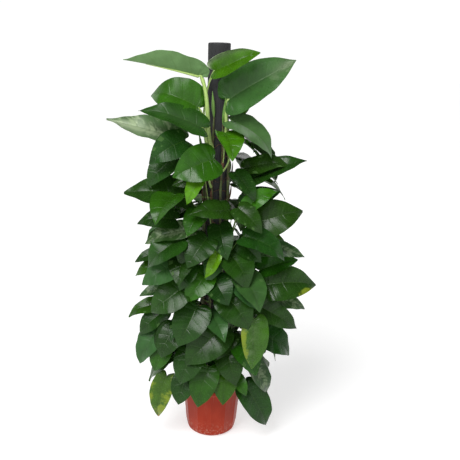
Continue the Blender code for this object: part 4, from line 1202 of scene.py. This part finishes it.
def stalk_material():
    """Smooth juicy stalk with faint length-wise streaks."""
    n = Nodes("stalk")
    u, v = n.uv()
    where = n.place()
    base = n.attribute("leaf_colour")
    streak = n.noise(n.join(n.times(v, 14.0), n.times(u, 2.0)), 1.0, 4.0)
    blotch = n.noise(where, 70.0, 4.0, 0.6)
    shade = n.plus(n.smooth(streak, 0.3, 0.7, 0.80, 1.18),
                   n.times(n.minus(blotch, 0.5), 0.5))
    colour = n.mix(1.0, base, n.join(shade, shade, shade), "MULTIPLY")
    n.set(Base_Color=colour, Roughness=n.smooth(blotch, 0.2, 0.8, 0.34, 0.50))
    n.bump(n.plus(streak, n.times(blotch, 0.5)), 0.35, 0.0006)
    return n.material


def stem_material():
    """Climbing stem: green turning corky, with pale flecks."""
    n = Nodes("vine_bark")
    u, v = n.uv()
    where = n.place()
    blotch = n.noise(where, 55.0, 5.0, 0.65)
    fine = n.noise(where, 420.0, 3.0, 0.6)
    line = n.noise(n.join(n.times(v, 9.0), n.times(u, 60.0)), 1.0, 4.0)
    colour = n.mix(n.smooth(blotch, 0.42, 0.62), (0.105, 0.150, 0.038), (0.075, 0.052, 0.024))
    colour = n.mix(n.smooth(line, 0.58, 0.72, 0.0, 0.55), colour, (0.19, 0.17, 0.09))
    colour = n.mix(n.smooth(fine, 0.55, 0.75, 0.0, 0.4), colour, (0.04, 0.03, 0.015))
    n.set(Base_Color=colour, Roughness=n.smooth(blotch, 0.3, 0.7, 0.5, 0.75))
    n.bump(n.plus(fine, n.times(line, 1.2)), 0.6, 0.0008)
    return n.material


def dry_material():
    """Papery brown of old sheaths and aerial roots."""
    n = Nodes("dry_sheath")
    where = n.place()
    blotch = n.noise(where, 90.0, 5.0, 0.6)
    fine = n.noise(where, 600.0, 3.0, 0.6)
    colour = n.mix(n.smooth(blotch, 0.35, 0.65), (0.055, 0.026, 0.013), (0.17, 0.085, 0.040))
    n.set(Base_Color=colour, Roughness=n.smooth(fine, 0.2, 0.8, 0.65, 0.9))
    n.bump(n.plus(blotch, fine), 0.6, 0.0007)
    return n.material


def pot_material():
    """Moulded red plastic, scuffed and dusty toward its foot."""
    n = Nodes("pot_shell")
    where = n.place()
    parts = n.tree.nodes.new("ShaderNodeSeparateXYZ")
    n.tree.links.new(where, parts.inputs[0])
    x, y, z = parts.outputs
    cloud = n.noise(where, 16.0, 4.0, 0.55)
    fine = n.noise(where, 260.0, 4.0, 0.6)
    drag = n.noise(n.join(n.times(x, 90.0), n.times(y, 90.0),
                          n.times(z, 9.0)), 1.0, 4.0, 0.6)
    chip = n.noise(where, 120.0, 5.0, 0.7)
    colour = n.mix(n.smooth(cloud, 0.3, 0.7), (0.265, 0.021, 0.0060), (0.315, 0.029, 0.0095))
    colour = n.mix(n.smooth(drag, 0.60, 0.78, 0.0, 0.35), colour, (0.38, 0.12, 0.080))
    low = n.smooth(z, 0.0, 0.075, 1.0, 0.0)
    dust = n.times(low, n.smooth(chip, 0.50, 0.66))
    colour = n.mix(n.times(dust, 0.75), colour, (0.44, 0.24, 0.18))
    speck = n.times(n.smooth(fine, 0.68, 0.74),
                    n.smooth(z, 0.0, 0.14, 1.0, 0.15))
    colour = n.mix(n.times(speck, 0.6), colour, (0.50, 0.33, 0.26))
    n.set(Base_Color=colour)
    rough = n.plus(n.smooth(fine, 0.2, 0.8, 0.33, 0.46), n.times(dust, 0.30))
    n.set(Roughness=rough)
    n.shader.inputs["Specular IOR Level"].default_value = 0.15
    n.bump(n.plus(n.times(fine, 0.4), n.times(drag, 0.6)),
           0.25, 0.0006)
    return n.material


def net_material():
    """Black knitted shade net with a slightly greyer thread."""
    n = Nodes("shade_net")
    where = n.place()
    blotch = n.noise(where, 40.0, 3.0)
    thread = n.noise(where, 900.0, 3.0, 0.6)
    colour = n.mix(n.smooth(thread, 0.35, 0.7), (0.0085, 0.0085, 0.010), (0.034, 0.034, 0.038))
    colour = n.mix(n.smooth(blotch, 0.55, 0.8, 0.0, 0.35), colour, (0.040, 0.034, 0.027))
    n.set(Base_Color=colour, Roughness=n.smooth(thread, 0.2, 0.8, 0.62, 0.85))
    n.bump(thread, 0.7, 0.0006)
    return n.material


def plain_material(name, dark, light, scale, rough, depth):
    """Two-tone grain for parts that are mostly hidden."""
    n = Nodes(name)
    where = n.place()
    grain = n.noise(where, scale, 6.0, 0.65)
    fine = n.noise(where, scale * 6.0, 4.0, 0.6)
    colour = n.mix(n.smooth(grain, 0.35, 0.65), dark, light)
    colour = n.mix(n.smooth(fine, 0.6, 0.8, 0.0, 0.5), colour, dark)
    n.set(Base_Color=colour, Roughness=n.smooth(fine, 0.2, 0.8, rough - 0.08, rough + 0.06))
    n.bump(n.plus(grain, n.times(fine, 0.6)), 0.7, depth)
    return n.material


# --------------------------------------------------------------- other pieces
BARK_GREEN = (0.1, 0.14, 0.04)
DRY_BROWN = (0.1, 0.05, 0.02)
ROOTS_PER_NODE = 3
PANEL_SHARP = 0.9            # share of a true polygon in the pot's outline
PANEL_ROUND = 0.1            # share of a circle
POT_SEGMENTS = 288
NET_SEGMENTS = 216
NET_ROWS = 420
NET_RIBS = 36
NET_THREADS = 108
NET_RUNG = 0.0060            # height of one knitted rung
CRUMBS = 420
GOLDEN_TURN = 2.39996        # radians from one crumb to the next
SPEAR_VINES = (0, 1, 4, 7)   # vines that end in a rolled new leaf


def fine_vine(growth, vine):
    """Stem with nodes, ring scars, aerial roots and dry sheaths."""
    foot = vine_foot()
    top = vine_top(vine)
    gaps = max(4, round((top - foot) / STEM_STEP))
    steps = gaps * 9
    path = []
    radii = []
    for i in range(steps + 1):
        share = i / steps
        height = foot + (top - foot) * share
        ring = share * gaps
        k = min(int(ring), gaps - 1)
        f = ring - k
        low = vine_point(vine, foot + (top - foot) * k / gaps)
        high = vine_point(vine, foot + (top - foot) * (k + 1) / gaps)
        point = low.lerp(high, f)
        near = abs(ring - round(ring))
        radius = STEM_RADIUS * (0.93 + 0.05 * unit_wave(i + vine * 31))
        radius += STEM_SWELL * math.exp(-(near / 0.09) ** 2)
        radius *= 1.0 - 0.45 * max(0.0, (share - 0.93) / 0.07)
        path.append(point)
        radii.append(radius)
    growth.add(*tube(path, radii, 12, 3, BARK_GREEN, 0.05))
    out = bearing(VINES[vine][0])
    across = Vector((-out.y, out.x, 0.0))
    for node in range(1, gaps):
        height = foot + (top - foot) * node / gaps
        if height < SOIL_TOP + 0.01:
            continue
        centre = vine_point(vine, height)
        for turn in range(ROOTS_PER_NODE):
            wave = unit_wave(vine * 101 + node * 7 + turn)
            other = unit_wave(vine * 57 + node * 13 + turn * 3)
            way = -1.0 if wave < 0 else 1.0
            span = 0.018 + 0.030 * abs(wave)
            drop = 0.010 + 0.035 * abs(other)
            points = []
            for i in range(9):
                t = i / 8
                angle = math.atan2(centre.y, centre.x) + way * span * t / SLEEVE_RADIUS
                reach = SLEEVE_RADIUS + 0.0009 + 0.0038 * math.exp(-t * 3.0)
                reach += 0.0035 * math.sin(t * 7.0 + wave * 3) ** 2 * t
                z = height - drop * t * t + 0.002 * math.sin(t * 9 + other * 5)
                points.append(Vector((math.cos(angle) * reach, math.sin(angle) * reach, z)))
            points = [p for p in points if p.z > SOIL_TOP - 0.004]
            if len(points) > 3:
                thin = [0.0011 * (1.0 - 0.65 * i / 8) for i in range(len(points))]
                growth.add(*tube(points, thin, 6, 4, DRY_BROWN))
        if (node + vine) % 2 == 0:
            wave = unit_wave(vine * 11 + node * 5)
            points = []
            wide = []
            for i in range(10):
                t = i / 9
                lean = out * (0.0055 + 0.004 * t + 0.003 * t * t) + across * 0.008 * wave * t
                points.append(centre + lean + Vector((0, 0, -0.008 + 0.055 * t)))
                wide.append(0.0006 + 0.0042 * math.sin(math.pi * min(1.0, t * 0.9 + 0.08)))
            growth.add(*ribbon(points, wide, across))


def ribbon(points, wide, across):
    """Thin curled strip with a closed skin."""
    verts = []
    uvs = []
    cols = 5
    for i, point in enumerate(points):
        slope = (points[min(i + 1, len(points) - 1)] - points[max(i - 1, 0)]).normalized()
        side = (across - slope * across.dot(slope)).normalized()
        up = slope.cross(side)
        for k in range(cols):
            s = k / (cols - 1) * 2 - 1
            verts.append(point + side * s * wide[i] + up * (-abs(s) ** 1.6 * wide[i] * 0.7))
            uvs.append((i / (len(points) - 1), k / (cols - 1)))
    count = len(verts)
    top = np.array([tuple(p) for p in verts])
    lift = np.array([tuple((points[-1] - points[0]).normalized().cross(across) * 0.0006)] * count)
    quads, _, _ = closed_sheet(len(points), cols)
    return (np.concatenate([top, top - lift]), quads, np.full(len(quads), 4),
            np.array(uvs + uvs), DRY_BROWN, NO_MARKS)


def spear(growth, base, way, length, colour):
    """Tightly rolled new leaf at the end of a vine."""
    path = []
    radii = []
    for i in range(14):
        t = i / 13
        path.append(base + way * length * t + Vector((0, 0, 0.012 * t * t)))
        radii.append(0.0008 + 0.0046 * math.sin(math.pi * min(1.0, t * 0.86 + 0.12)) ** 1.3)
    growth.add(*tube(path, radii, 10, 2, colour, 0.12))


def revolve(name, profile, segments, shape, material):
    """Turned mesh whose radius may be changed by angle and height."""
    verts = []
    faces = []
    for radius, height in profile:
        for i in range(segments):
            angle = math.tau * i / segments
            r = shape(radius, height, angle)
            verts.append((math.cos(angle) * r, math.sin(angle) * r, height))
    count = len(profile)
    for ring in range(count - 1):
        for i in range(segments):
            j = (i + 1) % segments
            low = ring * segments
            faces.append((low + i, low + j, low + segments + j, low + segments + i))
    faces.append(tuple(reversed(range(segments))))
    faces.append(tuple((count - 1) * segments + i for i in range(segments)))
    mesh = bpy.data.meshes.new(name)
    mesh.from_pydata(verts, [], faces)
    mesh.materials.append(material)
    for face in mesh.polygons:
        face.use_smooth = len(face.vertices) == 4
    return link(name, mesh)


def pot_outer(height):
    """Radius of the pot's outer wall before the panels are cut."""
    share = height / POT_HEIGHT
    return POT_BASE_RADIUS + (POT_RIM_RADIUS - RIM_ROLL - POT_BASE_RADIUS) * share


def flatness(angle):
    """Share of the round radius left where the panels are flat."""
    turn = (angle / math.tau * PANELS) % 1.0
    corner = 1.0 / math.cos(math.pi / PANELS)
    flat = 1.0 / math.cos((turn - 0.5) * math.tau / PANELS)
    return (PANEL_SHARP * flat + PANEL_ROUND) / (PANEL_SHARP * corner + PANEL_ROUND)


def fine_pot(material):
    """Twelve flat panels with soft edges, a rolled rim and drain notches."""
    band = POT_HEIGHT - RIM_BAND
    profile = []
    for i in range(9):
        turn = math.radians(90.0 * i / 8)
        profile.append((POT_BASE_RADIUS - POT_CORNER + POT_CORNER * math.sin(turn),
                        POT_CORNER * (1 - math.cos(turn))))
    for i in range(1, 21):
        z = POT_CORNER + (band - POT_CORNER) * i / 20
        profile.append((pot_outer(z), z))
    edge = POT_RIM_RADIUS
    profile += [(edge - RIM_ROLL * 0.3, band + 0.0006), (edge, band + 0.0022)]
    profile += [(edge, POT_HEIGHT - 0.0012), (edge - 0.0010, POT_HEIGHT)]
    inside = POT_RIM_RADIUS - RIM_ROLL - POT_WALL
    profile += [(inside + 0.0010, POT_HEIGHT), (inside, POT_HEIGHT - 0.0012)]
    profile += [(inside, band)]
    for i in range(1, 8):
        z = band - (band - POT_CORNER - POT_FLOOR) * i / 7
        profile.append((pot_outer(z) - POT_WALL, z))
    profile.append((pot_outer(POT_FLOOR) - POT_WALL - POT_CORNER * 0.6, POT_FLOOR))

    def shape(radius, height, angle):
        turn = (angle / math.tau * PANELS) % 1.0
        rise = min(1.0, max(0.0, (height - 0.002) / 0.02))
        fade = rise * min(1.0, max(0.0, (band - height) / 0.02))
        ridge = 0.0007 * math.exp(-((min(turn, 1 - turn)) / 0.040) ** 2) - 0.0007
        return radius + (radius * (flatness(angle) - 1.0) + ridge) * fade

    pot = revolve("pot_shell", profile, POT_SEGMENTS, shape, material)
    holes = Growth()
    for i in range(DRAIN_COUNT):
        out = bearing(DRAIN_START + 360.0 * i / DRAIN_COUNT)
        start = out * (DRAIN_RING - 0.012) + Vector((0, 0, 0.016))
        end = out * (DRAIN_RING + 0.014) + Vector((0, 0, -0.008))
        holes.add(*tube([start, start.lerp(end, 0.5), end], [DRAIN_RADIUS] * 3, 24, 0,
                        (0, 0, 0)))
    cutter = holes.build("notches", [material])
    take = pot.modifiers.new("notches", "BOOLEAN")
    take.operation = "DIFFERENCE"
    take.solver = "EXACT"
    take.object = cutter
    bake_modifiers(pot)
    bpy.data.objects.remove(cutter, do_unlink=True)
    return pot


def bake_modifiers(thing):
    """Keep the worked-out mesh and drop the modifiers."""
    graph = bpy.context.evaluated_depsgraph_get()
    shape = bpy.data.meshes.new_from_object(thing.evaluated_get(graph))
    thing.modifiers.clear()
    thing.data = shape


def fine_sleeve(material):
    """Ribbed knitted net drawn over the top of the pole."""
    top = PLANT_HEIGHT
    profile = [(0.010, top - 0.0010), (0.020, top - 0.0006), (0.028, top - 0.0003)]
    for i in range(6):
        turn = math.radians(90.0 * i / 5)
        profile.append((SLEEVE_RADIUS - SLEEVE_ROUND + SLEEVE_ROUND * math.sin(turn),
                        top - SLEEVE_ROUND + SLEEVE_ROUND * math.cos(turn)))
    low = SOIL_TOP - 0.02
    for i in range(1, NET_ROWS + 1):
        z = top - SLEEVE_ROUND - (top - SLEEVE_ROUND - low) * i / NET_ROWS
        profile.append((SLEEVE_RADIUS, z))
    profile.reverse()

    def shape(radius, height, angle):
        if radius < SLEEVE_RADIUS - 0.0005:
            return radius
        rib = math.cos(angle * NET_RIBS)
        thread = math.cos(angle * NET_THREADS + math.sin(height * 900.0) * 0.9)
        rung = math.cos(height * math.tau / NET_RUNG + (1.0 if rib > 0 else 0.0) * math.pi)
        give = 0.0006 * math.sin(height * 23.0 + angle * 2) * math.sin(angle + height * 9.0)
        return radius - 0.0011 + 0.0005 * max(rib, -0.2) + 0.00018 * thread + 0.00022 * rung + give

    return revolve("net_skin", profile, NET_SEGMENTS, shape, material)


def fine_soil(material, bits_material, perlite_material):
    """Crumbly surface of potting mix with bark and perlite bits."""
    rings = 34
    around = 120
    inner = SLEEVE_RADIUS - 0.001
    outer = pot_outer(SOIL_TOP) - POT_WALL - 0.0004
    profile = [(outer - 0.004, SOIL_TOP - 0.03)]
    surface = []
    for i in range(rings + 1):
        r = outer + (inner - outer) * i / rings
        drop = SOIL_DISH * ((r - inner) / (outer - inner)) ** 2
        surface.append((r, SOIL_TOP - drop - 0.001))
    profile += surface
    profile.append((inner, SOIL_TOP - 0.03))
    verts = []
    faces = []
    for row, (radius, height) in enumerate(profile):
        for i in range(around):
            angle = math.tau * i / around
            share = max(0.0, (radius - inner) / (outer - inner))
            narrow = 1.0 - (1.0 - flatness(angle)) * share ** 4 - 0.012 * share ** 8
            x = math.cos(angle) * radius * narrow
            y = math.sin(angle) * radius * narrow
            bump = 0.0
            if 1 < row < len(profile) - 2:
                spot = Vector((x * 95.0, y * 95.0, 0.3))
                bump = 0.0016 * noise.noise(spot) + 0.0010 * noise.noise(spot * 2.7)
            verts.append((x, y, height + bump))
    for row in range(len(profile) - 1):
        for i in range(around):
            j = (i + 1) % around
            low = row * around
            faces.append((low + i, low + around + i, low + around + j, low + j))
    last = (len(profile) - 1) * around
    for i in range(around):
        j = (i + 1) % around
        faces.append((last + i, i, j, last + j))
    mesh = bpy.data.meshes.new("soil_surface")
    mesh.from_pydata(verts, [], faces)
    mesh.materials.append(material)
    for face in mesh.polygons:
        face.use_smooth = True
    soil = link("soil_surface", mesh)
    work = bmesh.new()
    for k in range(CRUMBS):
        angle = k * GOLDEN_TURN
        reach = inner + 0.010 + (outer - inner - 0.020) * math.sqrt((k + 0.5) / CRUMBS)
        size = 0.0012 + 0.0022 * abs(unit_wave(k))
        drop = SOIL_DISH * ((reach - inner) / (outer - inner)) ** 2
        spot = Vector((math.cos(angle) * reach, math.sin(angle) * reach,
                       SOIL_TOP - drop - 0.001 + size * 0.25))
        made = bmesh.ops.create_icosphere(work, subdivisions=1, radius=size)["verts"]
        for vert in made:
            rough = 1.0 + 0.45 * noise.noise(vert.co * 900.0 + spot * 700.0)
            vert.co = Vector((vert.co.x * rough * 1.25, vert.co.y * rough, vert.co.z * rough * 0.7))
            vert.co.rotate(Quaternion((0, 0, 1), k * 1.3))
            vert.co += spot
        for face in {f for vert in made for f in vert.link_faces}:
            face.material_index = 1 if k % 9 == 0 else 0
            face.smooth = False
    crumbs = bpy.data.meshes.new("soil_crumbs")
    work.to_mesh(crumbs)
    work.free()
    crumbs.materials.append(bits_material)
    crumbs.materials.append(perlite_material)
    return soil, link("soil_crumbs", crumbs)


# ------------------------------------------------------------------- assembly
def stalk_colour(leaf, number):
    """Stalks of fresh top leaves are pale green, partly their young colour and partly painted
    sheen; the rest deeper.
    """
    high = max(0.0, min(1.0, (leaf.base.z - 0.85) / 0.35))
    wave = 1.0 + 0.15 * unit_wave(number + 9)
    low = (0.070, 0.145, 0.018)
    top = (0.330, 0.470, 0.130)
    return tuple((low[i] + (top[i] - low[i]) * high) * wave for i in range(3))


def build_plant():
    """Grow every leaf and vine and set each in place of its solid."""
    skins = [leaf_material("leaf_top", False), leaf_material("leaf_under", True),
             stalk_material(), stem_material(), dry_material()]
    vines = [Growth() for _ in VINES]
    for vine in range(len(VINES)):
        fine_vine(vines[vine], vine)
    for number, own, leaf, vine, curve in grow_leaves():
        dress(leaf, number)
        colour = stalk_colour(leaf, number)
        if own:
            node = "leaf_%02d" % number
            growth = Growth()
            growth.add(*blade(leaf, True, number))
            growth.add(*petiole(leaf, curve, 0.0015, colour))
            piece = growth.build(node + "_grown", skins[:3])
            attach(piece, "root")
            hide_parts(node)
        else:
            vines[vine].add(*blade(leaf, False, number))
            vines[vine].add(*petiole(leaf, curve, 0.0, colour))
    for vine, growth in enumerate(vines):
        if vine in SPEAR_VINES:
            tip = vine_point(vine, vine_top(vine) - 0.01)
            way = (bearing(VINES[vine][0]) * 0.25 + Vector((0, 0, 1))).normalized()
            spear(growth, tip, way, 0.075 + 0.01 * vine / 8, (0.13, 0.27, 0.045))
        piece = growth.build("vine_%d_grown" % (vine + 1), skins)
        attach(piece, "root")
        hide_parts("vine_%d" % (vine + 1))


def build_holder():
    """Pot, net and soil in fine detail; fibre wrap and pipe keep their mesh."""
    pot = fine_pot(pot_material())
    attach(pot, "root")
    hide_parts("pot")
    net = fine_sleeve(net_material())
    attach(net, "root")
    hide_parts("net_sleeve")
    mix = plain_material("potting_mix", (0.010, 0.007, 0.005), (0.034, 0.023, 0.015),
                         160.0, 0.92, 0.002)
    bark = plain_material("bark_bits", (0.020, 0.012, 0.007), (0.060, 0.036, 0.020),
                          300.0, 0.85, 0.001)
    perlite = plain_material("perlite", (0.45, 0.43, 0.39), (0.70, 0.68, 0.64),
                             420.0, 0.8, 0.0008)
    soil, bits = fine_soil(mix, bark, perlite)
    for piece in (soil, bits):
        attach(piece, "root")
        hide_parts("soil")
    coir = plain_material("coir_fibre", (0.030, 0.017, 0.009), (0.120, 0.075, 0.040),
                          220.0, 0.9, 0.0015)
    pipe = plain_material("grey_pipe", (0.16, 0.16, 0.155), (0.24, 0.24, 0.23),
                          60.0, 0.5, 0.0003)
    for node, skin in (("coir_wrap", coir), ("pole_pipe", pipe)):
        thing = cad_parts[node]
        for slot in thing.material_slots:
            slot.material = skin


WORLD_LEVEL = 1.05           # white band round the horizon
WORLD_ABOVE = 0.12           # dim ceiling
WORLD_FADE = (0.30, 0.55)    # sine of the height where the one turns to the other
FLOOR_GREY = (0.62, 0.62, 0.62)
FLOOR_GLOW = 0.55            # a light-box floor, so that it stays white
WHITE = (1.0, 1.0, 1.0, 1.0)


def build_stage():
    """Glowing white floor, white horizon and four soft lamps."""
    scene = bpy.context.scene
    mesh = bpy.data.meshes.new("floor")
    size = 14.0
    mesh.from_pydata([(-size, -size, 0), (size, -size, 0), (size, size, 0), (-size, size, 0)],
                     [], [(0, 1, 2, 3)])
    floor = link("floor", mesh)
    n = Nodes("studio_floor")
    n.set(Base_Color=FLOOR_GREY, Roughness=0.9)
    n.shader.inputs["Emission Color"].default_value = WHITE
    n.shader.inputs["Emission Strength"].default_value = FLOOR_GLOW
    mesh.materials.append(n.material)
    world = bpy.data.worlds.new("studio")
    world.use_nodes = True
    tree = world.node_tree
    ahead = tree.nodes.new("ShaderNodeTexCoord")
    split = tree.nodes.new("ShaderNodeSeparateXYZ")
    tree.links.new(ahead.outputs["Generated"], split.inputs[0])
    fade = tree.nodes.new("ShaderNodeMapRange")
    fade.interpolation_type = "SMOOTHSTEP"
    for socket, value in zip(fade.inputs[1:5], (*WORLD_FADE, WORLD_LEVEL, WORLD_ABOVE)):
        socket.default_value = value
    tree.links.new(split.outputs[2], fade.inputs[0])
    tree.links.new(fade.outputs[0], tree.nodes["Background"].inputs[1])
    tree.nodes["Background"].inputs[0].default_value = WHITE
    scene.world = world
    scene.view_settings.view_transform = "Standard"

    def lamp(name, kind, where, energy, size, aim=(0.0, 0.0, 0.75)):
        light = bpy.data.lights.new(name, kind)
        light.energy = energy
        if kind == "SUN":
            light.angle = math.radians(size)
        else:
            light.size = size
        thing = link(name, light)
        thing.location = where
        toward = Vector(aim) - Vector(where)
        thing.rotation_euler = toward.to_track_quat("-Z", "Y").to_euler()

    lamp("key", "SUN", (-1.5, -2.0, 3.6), 1.9, 34.0)
    lamp("soft_box", "AREA", (-0.5, -1.35, 2.45), 16.0, 0.8, (0.0, 0.0, 1.2))
    lamp("fill", "AREA", (2.4, -2.2, 1.8), 3.0, 1.8)
    lamp("back", "AREA", (1.2, 2.4, 2.6), 14.0, 1.6)


CAMERA_PLACE = (0.0, -2.2, 1.5)
CAMERA_PITCH = 18.5          # degrees down
CAMERA_ROLL = 1.3            # degrees
CAMERA_LENS = 52.4           # mm on a 36 mm sensor
CAMERA_SHIFT = (0.032, 0.0075)


def build_camera():
    """Eye level just above the plant, looking down a little."""
    pitch = math.radians(CAMERA_PITCH)
    roll = math.radians(CAMERA_ROLL)
    ahead = Vector((0.0, math.cos(pitch), -math.sin(pitch)))
    right = Vector((1.0, 0.0, 0.0))
    up = right.cross(ahead)
    turned_right = right * math.cos(roll) + up * math.sin(roll)
    turned_up = up * math.cos(roll) - right * math.sin(roll)
    lens = bpy.data.cameras.new("camera")
    lens.sensor_width = 36.0
    lens.lens = CAMERA_LENS
    lens.shift_x, lens.shift_y = CAMERA_SHIFT
    lens.clip_end = 60.0
    camera = link("camera", lens)
    turn = Matrix((turned_right, turned_up, -ahead)).transposed()
    camera.matrix_world = Matrix.Translation(CAMERA_PLACE) @ turn.to_4x4()
    bpy.context.scene.camera = camera


build_camera()
build_stage()
build_plant()
build_holder()
